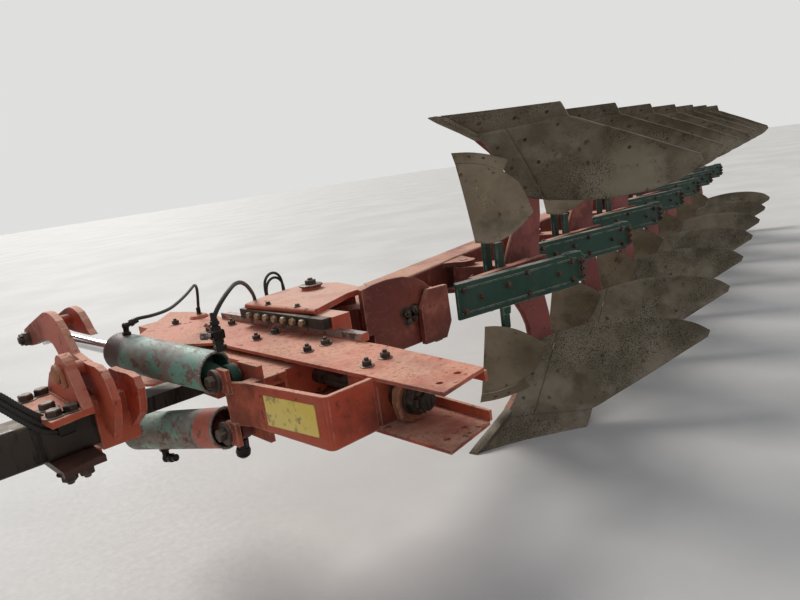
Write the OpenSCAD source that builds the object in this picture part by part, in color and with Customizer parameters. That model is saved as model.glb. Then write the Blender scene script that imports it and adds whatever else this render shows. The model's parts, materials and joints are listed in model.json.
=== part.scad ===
// Seven-furrow reversible mouldboard plough with variable furrow width, in mm, Z up, +X towards the tractor.
// The lower row of bodies stands on the floor, the upper row is its mirror image about the middle plane.

/* [Size] */
// Distance between bodies along the main beam
body_pitch = 1150; // [1000:10:1250]
// Angle between main beam and travel direction at the narrowest furrow
beam_angle = 15.4; // [12:0.1:20]
// Height of the frame's middle plane over the floor
mid_height = 900; // [860:10:1000]

/* [Main beam] */
// Width of the square main beam
beam_width = 200; // [160:5:220]
// Height of the square main beam
beam_height = 200; // [160:5:220]
// Sideways distance from the first share tip to the beam's centre line
beam_offset = 370; // [340:5:420]
// Length of beam behind the last body's tip
beam_tail = 1150; // [900:10:1500]

/* [Front tube] */
// Side of the square front tube
tube_side = 140; // [120:5:180]
// Tube length from its rear end to the turnover bearing
tube_length = 1000; // [900:10:1600]
// Sideways place of the tube's centre line
tube_y = 20; // [0:5:40]

/* [Cross frame] */
// Thickness of the top and bottom plates
plate_t = 12; // [8:1:16]
// Height of the cross frame over both plates
cross_height = 180; // [170:5:200]
// Left end of the cross frame
cross_left_y = 1130; // [1000:5:1200]
// Right end of the cross frame
cross_right_y = -1110; // [-1200:5:-1020]

/* [Cylinders] */
// Outer diameter of the two side shift cylinders
barrel_d = 140; // [120:2:146]
// Diameter of their piston rods
rod_d = 50; // [40:1:60]
// Diameter of the pins at both ends
pin_d = 35; // [30:1:38]

/* [Bodies] */
// Thickness of the mouldboards
board_t = 9; // [7:0.5:12]
// Thickness of the shares
share_t = 12; // [10:0.5:16]
// Thickness of the leg bars
leg_t = 38; // [30:1:42]

/* [Wheel] */
// Outer diameter of the rear depth wheel
wheel_d = 900; // [800:10:1000]
// Width of its tyre
wheel_w = 300; // [250:5:360]

/* [Hidden] */
$fn = 48;
body_count = 7;
beam_tan = tan(beam_angle);
pitch_x = body_pitch * cos(beam_angle);
pitch_y = body_pitch * sin(beam_angle);
mid = mid_height;
half = cross_height / 2;
gap = 5;
fit = 0.1;
// edges of the cross frame, and its guide shaft
cross_rear_x = 1000;
cross_front_x = 1250;
shaft_x = 1150;
shaft_d = 60;
// front edge of the cross frame at sideways place y
function front_x(y) = cross_front_x + 12 * (cross_left_y - y) / (cross_left_y + 150);
// rails on the cross frame, sliding jaws round them, cover plates of the sliding head
rail_h = half + 30;
jaw_h = rail_h + 51;
cover_h = jaw_h + 24;
// front end of the main beam and its flange
beam_front_x = 210;
flange_x = 360;
// pivot of the main beam in its sliding head
pivot_x = 740;
pivot_y = -beam_offset + pivot_x * beam_tan;
pivot_d = 90;
// pivot of each body beside the main beam, from that body's tip
bracket_px = -450;
bracket_py = -beam_offset + bracket_px * beam_tan + (beam_width / 2 + 87) / cos(beam_angle);
bracket_d = 50;
// pin of the parallel link bar on each body, from that body's tip
link_px = bracket_px + 100;
link_py = bracket_py + 120;
link_d = 30;
// slant of the green trip housings
trip_turn = -10;
// front eyes of the side shift cylinders, on the cross frame
eye_x = 1464;
eye_y = 361;
eye_dz = 91;
// rod eyes of the cylinders, between the hook plates of the tube
nose_x = 1750;
nose_y = tube_y - 632;
nose_dz = 219;
cyl_vec = [nose_x - eye_x, nose_y - eye_y, nose_dz - eye_dz];
cyl_len = norm(cyl_vec);
barrel_len = 560;
// front tube, its neck in the cross frame, swivel pin of the headstock
tube_rear = 1830;
neck_x = 1446;
neck_half = 28;
neck_w = 56;
tube_front = tube_rear + tube_length;
bearing_x = tube_front + 40 + gap;
swivel_x = bearing_x + 470;
swivel_d = 70;
spindle_d = 140;
// rear wheel and its arm
rear_x = -(body_count - 1) * pitch_x - beam_tail;
rear_y = -beam_offset + rear_x * beam_tan;
arm_x = rear_x - 128;
arm_d = 60;
wheel_x = arm_x - 400;
wheel_y = rear_y - 601;
wheel_r = wheel_d / 2;
// stems of the skimmers
stem_x0 = -335;
stem_x1 = -277;
stem_w = 25;
lower_stem_y = 78;
upper_stem_y = -5;
// ball eyes of the cylinders, and the standard pins of the headstock
eye_ball = 60;
eye_half = 16;
link_pin_d = 36.6;
top_hole_d = 32.2;
// the origin lies on the floor under the middle of the whole machine
stand_front_x = swivel_x + 480;
tip_x = -(wheel_x - wheel_r + stand_front_x) / 2;
tip_y = -(cross_left_y + wheel_y - wheel_w / 2) / 2;

red = [0.55, 0.20, 0.16];
green = [0.07, 0.22, 0.19];
teal = [0.25, 0.45, 0.38];
steel = [0.42, 0.38, 0.34];
dark = [0.12, 0.10, 0.09];

// everything is laid out from the first lower share tip
module placed() {
    translate([tip_x, tip_y, 0]) children();
}

module at_body(k) {
    translate([tip_x - (k - 1) * pitch_x, tip_y - (k - 1) * pitch_y, 0]) children();
}

// the lower one and its mirror image above the middle plane
module both_rows() {
    children();
    translate([0, 0, 2 * mid]) mirror([0, 0, 1]) children();
}

module plate(z0, z1, points) {
    translate([0, 0, z0]) linear_extrude(height = z1 - z0) polygon(points);
}

// a plate across the travel direction, its outline in y and z
module cross_plate(x0, x1, points) {
    translate([x0, 0, 0]) rotate([90, 0, 90]) linear_extrude(height = x1 - x0) polygon(points);
}

// a plate along the travel direction, its outline in x and z
module side_plate(y0, y1, points) {
    translate([0, y1, 0]) rotate([90, 0, 0]) linear_extrude(height = y1 - y0) polygon(points);
}

module bar(p, q) {
    translate(p) cube(q - p);
}

// square bar along x with rounded long edges
module rounded_bar(p, q, r) {
    translate([p[0], 0, 0]) rotate([90, 0, 90]) linear_extrude(height = q[0] - p[0]) union() {
        translate([p[1] + r, p[2]]) square([q[1] - p[1] - 2 * r, q[2] - p[2]]);
        translate([p[1], p[2] + r]) square([q[1] - p[1], q[2] - p[2] - 2 * r]);
        for (y = [p[1] + r, q[1] - r], z = [p[2] + r, q[2] - r]) translate([y, z]) circle(r = r);
    }
}

module pin_z(x, y, z0, z1, d) {
    translate([x, y, z0]) cylinder(h = z1 - z0, d = d);
}

module pin_x(x0, x1, y, z, d) {
    translate([x0, y, z]) rotate([0, 90, 0]) cylinder(h = x1 - x0, d = d);
}

module pin_y(y0, y1, x, z, d) {
    translate([x, y1, z]) rotate([90, 0, 0]) cylinder(h = y1 - y0, d = d);
}

// children built along +Z are laid from point p towards direction v
module along(p, v) {
    translate(p) rotate([0, acos(v[2] / norm(v)), atan2(v[1], v[0])]) children();
}

// ball of radius r in narrow bands round axis v, so that it turns in its socket
module ball(p, v, r) along(p, v) rotate_extrude() polygon([for (a = [-90:15:90]) [r * cos(a), r * sin(a)]]);

// closed skin through rings that all have the same number of points
module skin(rings) {
    n = len(rings[0]);
    m = len(rings);
    pts = [for (r = rings) for (p = r) p];
    sides = [for (i = [0:m - 2]) for (j = [0:n - 1]) for (s = [0, 1])
        let (a = i * n + j, b = i * n + (j + 1) % n, c = (i + 1) * n + (j + 1) % n, d = (i + 1) * n + j)
        s == 0 ? [a, b, c] : [a, c, d]];
    first = [[for (j = [n - 1:-1:0]) j]];
    last = [[for (j = [0:n - 1]) (m - 1) * n + j]];
    polyhedron(points = pts, faces = concat(sides, first, last), convexity = 6);
}

// smooth curve value through a table of points at place u
function at(t, i) = t[max(0, min(len(t) - 1, i))];
function smooth(t, u) =
    let (i = min(len(t) - 2, floor(u)), f = u - i,
        a = at(t, i - 1), b = at(t, i), c = at(t, i + 1), d = at(t, i + 2))
    0.5 * (2 * b + f * (c - a) + f * f * (2 * a - 5 * b + 4 * c - d) + f * f * f * (3 * b - a - 3 * c + d));

// mouldboard stations from shin to tail: bottom point, top point, depth of the hollow
board_table = [
    [[-300, 28, 106], [-622, 52, 482], 14],
    [[-430, 130, 100], [-720, 136, 512], 30],
    [[-560, 235, 88], [-822, 225, 533], 46],
    [[-690, 330, 78], [-925, 335, 547], 58],
    [[-850, 432, 145], [-1030, 455, 545], 60],
    [[-1030, 545, 225], [-1135, 585, 527], 50],
    [[-1200, 655, 308], [-1245, 700, 480], 28],
    [[-1338, 742, 372], [-1345, 754, 408], 4]
];
board_back = [-0.62, -0.50, -0.60];

// skimmer stations from its shin to its tail, same columns
skim_table = [
    [[-262, -108, 240], [-222, 8, 668], 8],
    [[-315, -40, 245], [-238, 90, 674], 30],
    [[-365, 30, 255], [-280, 165, 655], 42],
    [[-410, 95, 275], [-342, 225, 605], 34],
    [[-450, 160, 330], [-405, 268, 540], 14]
];
skim_back = [-0.86, -0.42, -0.28];
skim_t = 7;

// point of a curved plate at station u and height share v, behind its face by depth
function on_plate(table, back, u, v, depth) =
    let (b = smooth([for (r = table) r[0]], u), e = smooth([for (r = table) r[1]], u),
        h = smooth([for (r = table) r[2]], u))
    b * (1 - v) + e * v + (4 * v * (1 - v) * h + depth) * back;

module curved_plate(table, back, t, steps, n) {
    last = len(table) - 1;
    skin([for (i = [0:steps]) let (u = last * i / steps)
        concat([for (j = [0:n]) on_plate(table, back, u, j / n, 0)],
            [for (j = [n:-1:0]) on_plate(table, back, u, j / n, t)])]);
}

/* plough bodies */

// block from the leg's left face to the back of the mouldboard at station u and height share v
module stay(x0, x1, z0, z1, u, v) {
    du = 0.22;
    dv = 0.07;
    y = leg_t / 2;
    skin([
        [[x0, y, z0], [x1, y, z0], [x1, y, z1], [x0, y, z1]],
        [for (c = [[du, -dv], [-du, -dv], [-du, dv], [du, dv]])
            on_plate(board_table, board_back, u + c[0], v + c[1], board_t / 2)]
    ]);
}

module mouldboards(k) color(steel) at_body(k) both_rows() {
    curved_plate(board_table, board_back, board_t, 16, 6);
    stay(-700, -630, 330, 390, 1.05, 0.62);
    stay(-560, -480, 110, 170, 1.0, 0.16);
}

share_edge = [[-110, 38, 0], [-275, 138, 0], [-440, 238, 0], [-600, 342, 0], [-740, 440, 0]];

module shares(k) color(steel) at_body(k) both_rows() {
    // share strip, its seam 0.4 mm from the board's lower edge
    skin([for (i = [0:7])
        let (u = 7 * i / 16, e = smooth(share_edge, u), b = on_plate(board_table, board_back, u, 0, 0),
            s = b + 0.4 * (e - b) / norm(e - b), back = share_t * [-0.55, -0.35, -0.76])
        [e, s, s + back, [e[0] + back[0], e[1] + back[1], e[2]]]]);
    // bar point
    skin([
        [[0, -14, 0], [-8, 36, 0], [-14, 36, 8], [-6, -14, 8]],
        [[-60, -16, 6], [-64, 44, 6], [-72, 44, 34], [-66, -16, 34]],
        [[-210, -16, 66], [-210, 44, 66], [-222, 44, 92], [-222, -16, 92]],
        [[-330, -16, 118], [-330, 40, 118], [-344, 40, 142], [-344, -16, 142]]
    ]);
    bar([-470, leg_t / 2, 30], [-380, 120, 62]);
}

// skimmer: side of its stem, far end of the stem, where the foot follows the board
module skimmer(stem_y, far_z, foot_u, foot_slope) {
    seam = 0.4;
    curved_plate(skim_table, skim_back, skim_t, 8, 4);
    // cutting strip under the board
    skin([for (i = [0:6])
        let (u = i / 2, s = on_plate(skim_table, skim_back, u, 0, 0) - [0, 0, seam],
            e = s + [-2 - 14 * u, -20 + 8 * u, -56])
        [e, s, s + skim_t * skim_back, e + [-9, -3, 0]]]);
    // foot that follows the back of the board, and the stem above it
    skin(concat(
        [for (v = [0.25, 0.5, 0.75, 0.9])
            let (u = foot_u - foot_slope * v, p = on_plate(skim_table, skim_back, u - 0.15, v, skim_t + 2 * seam),
                q = on_plate(skim_table, skim_back, u + 0.15, v, skim_t + 2 * seam))
            [p, p + [-48, 0, 0], q + [-48, 0, 0], q]],
        [for (z = [650, far_z])
            [[stem_x1, stem_y, z], [stem_x0, stem_y, z], [stem_x0, stem_y + stem_w, z], [stem_x1, stem_y + stem_w, z]]]
    ));
}

module skimmers(k) color(steel) at_body(k) {
    skimmer(lower_stem_y, mid + 220, 3.28, 2.33);
    translate([0, 0, 2 * mid]) mirror([0, 0, 1]) skimmer(upper_stem_y, mid + 160, 1.85, 1.83);
}

module legs(k) color(red) at_body(k) {
    side = leg_t / 2;
    both_rows() {
        side_plate(-side, side, [
            [-460, mid], [-478, 815], [-520, 735], [-575, 655], [-612, 575], [-624, 500], [-640, 420],
            [-560, 300], [-440, 205], [-344.3, 142.3], [-330.3, 117.8], [-400, 40], [-560, 25], [-700, 60],
            [-790, 200], [-815, 330], [-822, 460], [-812, 600], [-786, 700], [-770, 800], [-770, mid]
        ]);
        // landside
        bar([-1010, -side - 14, 0], [-330, -side, 105]);
    }
    // web and red bar beside the leg root
    bar([-640, side, mid - 70], [-440, 106, mid + 70]);
    bar([-660, 106, mid - 88], [-25, 148, mid + 88]);
    // holder of the skimmer stems
    difference() {
        bar([-362, -30, mid - 50], [-250, 106, mid + 50]);
        for (y = [lower_stem_y, upper_stem_y]) bar([stem_x0, y, 0], [stem_x1, y + stem_w, 2 * mid]);
    }
    // arm to the pivot beside the main beam, with the lug of the link bar
    difference() {
        union() {
            plate(mid - 60, mid + 60, [[-700, -side], [-460, -side], [bracket_px + 70, bracket_py - 20],
                [bracket_px - 70, bracket_py - 20]]);
            pin_z(bracket_px, bracket_py, mid - 60, mid + 60, 140);
            plate(mid - 60, mid - 30, [[-500, -side], [link_px - 40, link_py], [link_px + 40, link_py], [-400, -side]]);
            pin_z(link_px, link_py, mid - 60, mid - 30, 80);
        }
        pin_z(bracket_px, bracket_py, mid - 70, mid + 70, bracket_d);
        pin_z(link_px, link_py, mid - 70, mid + 70, link_d);
    }
}

// green housing of the leaf-spring trip, slanted a little against the travel direction
module bracket(k) color(green) at_body(k) difference() {
    union() {
        translate([130, 150, 0]) rotate([0, 0, trip_turn]) {
            // outer plate with its folded edges
            bar([-846, 0, mid - 90], [0, 18, mid + 90]);
            bar([-846, -28, mid + 78], [-20, 0, mid + 90]);
            bar([-846, -28, mid - 90], [-20, 0, mid - 78]);
            // end block of the spring pack
            bar([-905, -60, mid - 72], [-846, 18, mid + 72]);
            // spring leaves
            for (i = [0:3]) bar([-846, -54 + i * 9, mid - 45 + i * 3], [-250 - i * 60, -48 + i * 9, mid + 45 - i * 3]);
        }
        // spacer against the red bar
        plate(mid - 60, mid + 60, [[-40, 148], [-200, 148], [-200, 214], [-40, 186]]);
    }
    // the red bar passes inside the folded edges
    bar([-660, 106, mid - 88], [-25, 148, mid + 88]);
}

/* frame nodes */

module main_beam() color(red) {
    length = (beam_front_x - rear_x) / cos(beam_angle);
    ear_z = 66;
    placed() {
        translate([beam_front_x, -beam_offset + beam_front_x * beam_tan, 0]) rotate([0, 0, beam_angle])
            rounded_bar([-length, -beam_width / 2, mid - beam_height / 2],
                [0, beam_width / 2, mid + beam_height / 2], 16);
        // ears and pins of the body pivots
        for (k = [0:body_count - 1]) translate([-k * pitch_x, -k * pitch_y, 0]) {
            cy = -beam_offset + bracket_px * beam_tan + beam_width / 2 / cos(beam_angle);
            both_rows() {
                plate(mid - ear_z - 26, mid - ear_z, [[bracket_px - 130, cy - 40], [bracket_px + 130, cy + 10],
                    [bracket_px + 70, bracket_py], [bracket_px - 70, bracket_py]]);
                pin_z(bracket_px, bracket_py, mid - ear_z - 26, mid - ear_z, 140);
            }
            pin_z(bracket_px, bracket_py, mid - ear_z - 30, mid + ear_z + 30, bracket_d - fit);
        }
        // plate that carries the wheel arm
        translate([rear_x, rear_y, 0]) rotate([0, 0, beam_angle]) bar([-24, -150, mid - 150], [4, 150, mid + 150]);
        // housing of the wheel arm's pivot
        difference() {
            bar([arm_x - 75, rear_y - 211, mid - 90], [rear_x - 10, rear_y + 79, mid + 90]);
            pin_y(rear_y - 221, rear_y - 81, arm_x, mid, arm_d);
        }
    }
}

// corner of the main beam's front end on side s
function beam_corner(s) = [beam_front_x - s * beam_width / 2 * sin(beam_angle),
    -beam_offset + beam_front_x * beam_tan + s * beam_width / 2 * cos(beam_angle)];

module beam_head() color(red) {
    head_h = jaw_h - 6;
    neck_h = 112;
    placed() {
        // nose that swings between the cover plates
        difference() {
            union() {
                plate(mid - head_h, mid + head_h, [[pivot_x + 150, pivot_y - 130], [pivot_x + 150, pivot_y + 130],
                    [640, 20], [600, -60], [600, -330], [pivot_x - 60, pivot_y - 190]]);
                plate(mid - neck_h, mid + neck_h, [[pivot_x + 140, pivot_y - 120], [pivot_x + 140, pivot_y + 120],
                    [710, 110], [700, 190], [flange_x, 190], [flange_x, -300], [pivot_x - 60, pivot_y - 190]]);
            }
            pin_z(pivot_x, pivot_y, mid - 2 * jaw_h, mid + 2 * jaw_h, pivot_d);
        }
        // arched web along the front
        side_plate(165, 190, [[735, mid], [735, mid + 203], [672, mid + 213], [589, mid + 218], [500, mid + 212],
            [419, mid + 192], [370, mid + 160], [337, mid + 130], [337, mid]]);
        // flange against the main beam
        cross_plate(flange_x - 42, flange_x, [[-330, mid - 112], [215, mid - 128], [220, mid + 125], [-330, mid + 108]]);
        // flared neck
        plate(mid - 100, mid + 100, [[flange_x - 42, -330], [flange_x - 42, 60], beam_corner(1), beam_corner(-1)]);
        // front lug plate
        side_plate(205, 230, [[440, mid - 115], [440, mid + 50], [385, mid + 130], [262, mid + 125],
            [258, mid - 50], [300, mid - 120]]);
        bar([flange_x - 40, 150, mid - 100], [flange_x, 215, mid + 100]);
    }
}

module cross_outline() {
    polygon([[cross_front_x, cross_left_y], [1042, cross_left_y - 35], [cross_rear_x, 600], [cross_rear_x, -450],
        [966, -884], [1031, cross_right_y], [1454, -600], [1454, -480], [1262, -150]]);
}

module cross_frame() color(red) placed() {
    in_h = half - plate_t;
    both_rows() {
        difference() {
            translate([0, 0, mid - half]) linear_extrude(height = plate_t) cross_outline();
            // two holes for a front tool
            for (p = [[1200, cross_left_y - 63], [1114, cross_left_y - 74]]) pin_z(p[0], p[1], 0, mid, 22);
        }
        // folded edge at the left end
        plate(mid - in_h, mid - in_h + 32, [[1042, cross_left_y - 35], [1030, cross_left_y - 35], [1000, 650],
            [1012, 650]]);
        // rail of the sliding head
        bar([cross_rear_x - 25, -560, mid - rail_h], [cross_rear_x + 10, 500, mid - half]);
    }
    // rear web and end blocks
    bar([cross_rear_x + 2, -860, mid - in_h], [cross_rear_x + 22, 640, mid + in_h]);
    bar([shaft_x - 90, 690, mid - in_h], [shaft_x + 85, 830, mid + in_h]);
    bar([shaft_x - 110, -1000, mid - in_h], [shaft_x + 100, -800, mid + in_h]);
}

module box_wall() color(red) placed() {
    z0 = mid - half + 12;
    z1 = mid + half - 4;
    // bent flat bar from the cylinder eyes round to the end block, lower towards the eyes
    difference() {
        union() {
            plate(z0, z1, [[1512, 395], [1476, 470], [1434, 818], [1430, 830], [1421, 838], [front_x(838), 838],
                [front_x(822), 822], [1410, 822], [1416, 816], [1458, 466], [1494, 388]]);
            bar([1416, 440, z0], [1472, 490, z1]);
        }
        cross_plate(1400, 1530, [[818, z0], [380, z0 + 20], [380, z0 - 10], [818, z0 - 10]]);
    }
    for (s = [-1, 1]) {
        z = mid + s * eye_dz;
        // lugs of the cylinder eyes
        bar([1496, eye_y, z - 40], [1513, eye_y + 60, z + 40]);
        bar([1416, eye_y, z - 40], [1434, 490, z + 40]);
        for (x = [1416, 1496]) pin_x(x, x + 17, eye_y, z, 48);
        // pin with the ball of the eye
        pin_x(1404, 1521, eye_y, z, pin_d);
        pin_x(1513, 1521, eye_y, z, 74);
        ball([eye_x, eye_y, z], [-s * cyl_vec[2], 0, cyl_vec[0]], eye_ball / 2);
    }
}

module guide_shaft() color(steel) placed() {
    pin_y(-800, 690, shaft_x, mid, shaft_d - fit);
    pin_y(830, 900, shaft_x, mid, 92);
    pin_y(900, 960, shaft_x, mid, shaft_d);
}

module beam_slide() color(red) placed() {
    both_rows() {
        // cover plate of the head
        plate(mid - cover_h, mid - jaw_h, [[cross_rear_x + 36, -245], [cross_rear_x + 5, 240], [758, 123],
            [692, 116], [640, 40], [600, -150], [645, -331], [902, -297]]);
        // jaw over the rail
        bar([cross_rear_x - 75, -300, mid - jaw_h], [cross_rear_x + 10.5, 340, mid - rail_h - 0.5]);
    }
    // back wall behind the rails
    bar([cross_rear_x - 75, -300, mid - rail_h - 0.5], [cross_rear_x - 25.5, 340, mid + rail_h + 0.5]);
    // pivot pin of the beam
    pin_z(pivot_x, pivot_y, mid - cover_h - 16, mid + cover_h + 16, pivot_d - fit);
}

module clamp_bars() color(dark) placed() both_rows()
    bar([cross_rear_x + 10.5, -290, mid - jaw_h], [cross_rear_x + 50, 330, mid - rail_h - 10]);

module link_bar() color(red) placed() {
    translate([link_px, link_py, 0]) rotate([0, 0, beam_angle])
        bar([-(body_count - 1) * body_pitch, -28, mid - 130], [0, 28, mid - 100]);
    for (k = [0:body_count - 1]) translate([-k * pitch_x, -k * pitch_y, 0]) {
        pin_z(link_px, link_py, mid - 130, mid - 100, 70);
        pin_z(link_px, link_py, mid - 101, mid - 24, link_d - fit);
    }
}

/* tube side */

module front_tube() color(dark) placed() {
    rounded_bar([tube_rear, tube_y - tube_side / 2, mid - tube_side / 2],
        [tube_front, tube_y + tube_side / 2, mid + tube_side / 2], 18);
    bar([neck_x, tube_y - neck_w, mid - neck_half], [tube_rear + 1, tube_y + neck_w, mid + neck_half]);
    // turnover spindle with its bearing flange and nut
    pin_x(tube_front, bearing_x - gap, tube_y, mid, 290);
    pin_x(bearing_x - gap, bearing_x + 285, tube_y, mid, spindle_d - fit);
    pin_x(bearing_x + 285, bearing_x + 320, tube_y, mid, 200);
}

module tube_clamps() color(red) placed() {
    h = tube_side / 2;
    // bolted flanges on the tube
    both_rows() plate(mid - h - 22, mid - h, [[1850, tube_y - 200], [1970, tube_y - 185], [1994, tube_y - 160],
        [1982, tube_y + 196], [1884, tube_y + 172], [1850, tube_y + 172]]);
    // ear with the pin of the hook plates
    cross_plate(1850, 1885, [[tube_y - 215, mid + h + 22], [tube_y - 128, mid + 168], for (a = [150:-15:15])
        [tube_y + 38 + 62 * cos(a), mid + 190 + 62 * sin(a)], [tube_y + 172, mid + h + 22]]);
    pin_x(1815, 1897, tube_y + 20, mid + 189, 52);
}

// outline of the near hook plate, sideways from the tube's centre line and up from the middle plane
hook = [[-40, -60], [-40, 60], [-210, 110], [-249, 199], [-266, 216], [-293, 233], [-336, 240], [-388, 238],
    [-488, 216], [-612, 190], [-668, 186], [-690, 205], [-698, 232], [-682, 250], [-539, 291], [-357, 340], [-318, 349],
    [-280, 351], [-249, 350], [-222, 344], [-174, 327], [-137, 298], [-113, 273], [-90, 249], [-62, 222], [20, 210],
    [64, 204], [144, 206], [187, 195], [212, 174], [228, 146], [245, 110], [242, 87], [220, 35], [170, -36],
    [109, -12], [99, 21], [98, 40], [85, 75], [71, 101], [25, 112], [5, 100], [0, -60]];
// arm down to the lower rod eye
hook_low = [[0, -60], [-60, 40], [-180, -20], [-320, -110], [-580, -172], [-662, -180], [-690, -215], [-662, -255],
    [-580, -264], [-320, -200], [-120, -110], [-20, -80]];
// outlines of the far hook plates, which leave room for the piston rods
hook_far = [[-685, 205], [-688, 245], [-670, 268], [-498, 304], [-378, 336], [-323, 346], [-271, 343],
    [-227, 332], [-190, 304], [-162, 274], [-132, 256], [-320, 252], [-540, 256], [-616, 266], [-626, 250],
    [-626, 196], [-652, 182]];
hook_far_low = [[-685, -205], [-688, -240], [-660, -266], [-440, -284], [-440, -256], [-540, -256], [-616, -260],
    [-626, -250], [-626, -196], [-652, -182]];
// rear plate behind the tube's end
hook_rear = [[-90, -60], [-90, 100], [-20, 150], [60, 150], [144, 155], [198, 149], [219, 113], [210, 70], [192, 25],
    [120, -20], [60, -60]];

module hook_plates() color(red) placed() {
    difference() {
        union() {
            cross_plate(1790, 1815, [for (p = hook) [tube_y + p[0], mid + p[1]]]);
            cross_plate(1790, 1815, [for (p = hook_low) [tube_y + p[0], mid + p[1]]]);
            cross_plate(1701, 1726, [for (p = hook_far) [tube_y + p[0], mid + p[1]]]);
            cross_plate(1701, 1726, [for (p = hook_far_low) [tube_y + p[0], mid + p[1]]]);
            cross_plate(1701, 1726, [for (p = hook_rear) [tube_y + p[0], mid + p[1]]]);
            // spacers between the plates
            pin_x(1725, 1791, tube_y - 340, mid + 300, 40);
            pin_x(1725, 1791, tube_y - 452, mid - 252, 30);
            pin_x(1696, 1830, nose_y, mid + nose_dz, pin_d);
            pin_x(1696, 1830, nose_y, mid - nose_dz, pin_d);
            // block round the tube's neck
            bar([1701, tube_y - 85, mid - 85], [tube_rear - 0.1, tube_y + 85, mid + 85]);
        }
        bar([1690, tube_y - neck_w, mid - neck_half], [tube_rear, tube_y + neck_w, mid + neck_half]);
    }
}

module shift_carriage() color(red) placed() {
    h = half - plate_t - 13;
    difference() {
        union() {
            pin_y(-450, 400, shaft_x, mid, 2 * h);
            bar([shaft_x, -450, mid - h + 5], [1300, 400, mid + h - 5]);
        }
        pin_y(-460, 410, shaft_x, mid, shaft_d);
    }
    bar([1299, tube_y - 170, mid - neck_half], [neck_x, tube_y + 170, mid + neck_half]);
    // folded channel along the front
    both_rows() bar([1290, tube_y + 160, mid - h + 3], [1380, 420, mid - neck_half + 1]);
    bar([1290, tube_y + 160, mid - neck_half], [1302, 420, mid + neck_half]);
}

// barrel of the upper (s = 1) or lower (s = -1) side shift cylinder
module barrel(s) color(teal) placed() {
    v = [cyl_vec[0], cyl_vec[1], s * cyl_vec[2]];
    p = [eye_x, eye_y, mid + s * eye_dz];
    difference() {
        union() {
            along(p, v) {
                // tube with its open skirt at the eye end
                difference() {
                    translate([0, 0, 76]) cylinder(h = barrel_len - 76, d = barrel_d);
                    translate([0, 0, 70]) cylinder(h = 70, d = barrel_d - 18);
                }
                translate([0, 0, barrel_len]) cylinder(h = 14, d1 = barrel_d, d2 = barrel_d - 14);
                translate([0, 0, barrel_len + 14]) cylinder(h = 10, d1 = barrel_d - 14, d2 = barrel_d - 44);
                translate([0, 0, 34]) cylinder(h = 110, d1 = 34, d2 = 88);
            }
            pin_x(eye_x - eye_half, eye_x + eye_half, eye_y, p[2], 82);
        }
        along(p, v) translate([0, 0, 150]) cylinder(h = barrel_len, d = rod_d + 2 * fit);
        ball(p, [-s * cyl_vec[2], 0, cyl_vec[0]], eye_ball / 2 + fit);
    }
}

module rod(s) color(steel) placed() {
    v = [cyl_vec[0], cyl_vec[1], s * cyl_vec[2]];
    p = [eye_x, eye_y, mid + s * eye_dz];
    z = mid + s * nose_dz;
    difference() {
        union() {
            along(p, v) translate([0, 0, 400]) cylinder(h = cyl_len - 430, d = rod_d);
            pin_x(nose_x - 19, nose_x + 19, nose_y, z, 84);
        }
        // open round the pin, which this rod follows only roughly when the frame is shifted
        pin_x(nose_x - 30, nose_x + 30, nose_y, z, pin_d + 12);
    }
}

/* headstock */

module swivel_housing() color(red) placed() difference() {
    union() {
        pin_x(bearing_x, bearing_x + 280, tube_y, mid, 250);
        bar([bearing_x + 40, tube_y - 125, mid - 170], [bearing_x + 240, tube_y + 125, mid + 170]);
        both_rows() {
            bar([bearing_x + 230, tube_y - 70, mid - 170], [swivel_x, tube_y + 70, mid - 120]);
            pin_z(swivel_x, tube_y, mid - 170, mid - 120, 170);
        }
    }
    pin_x(bearing_x - 10, bearing_x + 300, tube_y, mid, spindle_d);
    pin_z(swivel_x, tube_y, mid - 200, mid + 200, swivel_d);
}

module headstock() color(red) placed() {
    link_y = 430;
    pin_z(swivel_x, tube_y, mid - 112, mid + 112, 170);
    bar([swivel_x, tube_y - 80, mid - 112], [swivel_x + 230, tube_y + 80, mid + 112]);
    pin_z(swivel_x, tube_y, mid - 185, mid + 185, swivel_d - fit);
    // cross beam with the lower link pins
    bar([swivel_x + 150, tube_y - link_y, mid - 280], [swivel_x + 300, tube_y + link_y, mid - 112]);
    for (s = [-1, 1]) {
        y = tube_y + s * (link_y + 65);
        pin_y(y - 65, y + 65, swivel_x + 225, mid - 196, link_pin_d);
    }
    // mast with the top link hole
    bar([swivel_x + 150, tube_y - 80, mid + 100], [swivel_x + 260, tube_y + 80, mid + 200]);
    difference() {
        for (s = [-1, 1]) side_plate(tube_y + s * 40 - 12, tube_y + s * 40 + 12, [[swivel_x + 150, mid + 200],
            [swivel_x + 260, mid + 200], [swivel_x + 300, mid + 300], [swivel_x + 280, mid + 350],
            [swivel_x + 210, mid + 350], [swivel_x + 180, mid + 320]]);
        pin_y(tube_y - 60, tube_y + 60, swivel_x + 245, mid + 300, top_hole_d);
    }
    // sleeve of the stand
    difference() {
        bar([swivel_x + 300, tube_y - 60, mid - 300], [swivel_x + 420, tube_y + 60, mid - 60]);
        bar([swivel_x + 319.5, tube_y - 40.5, mid - 310], [swivel_x + 400.5, tube_y + 40.5, mid - 50]);
    }
}

module parking_stand() color(dark) placed() {
    bar([swivel_x + 320, tube_y - 40, 16], [swivel_x + 400, tube_y + 40, mid - 20]);
    bar([swivel_x + 240, tube_y - 130, 0], [stand_front_x, tube_y + 130, 16]);
}

/* rear wheel */

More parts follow.
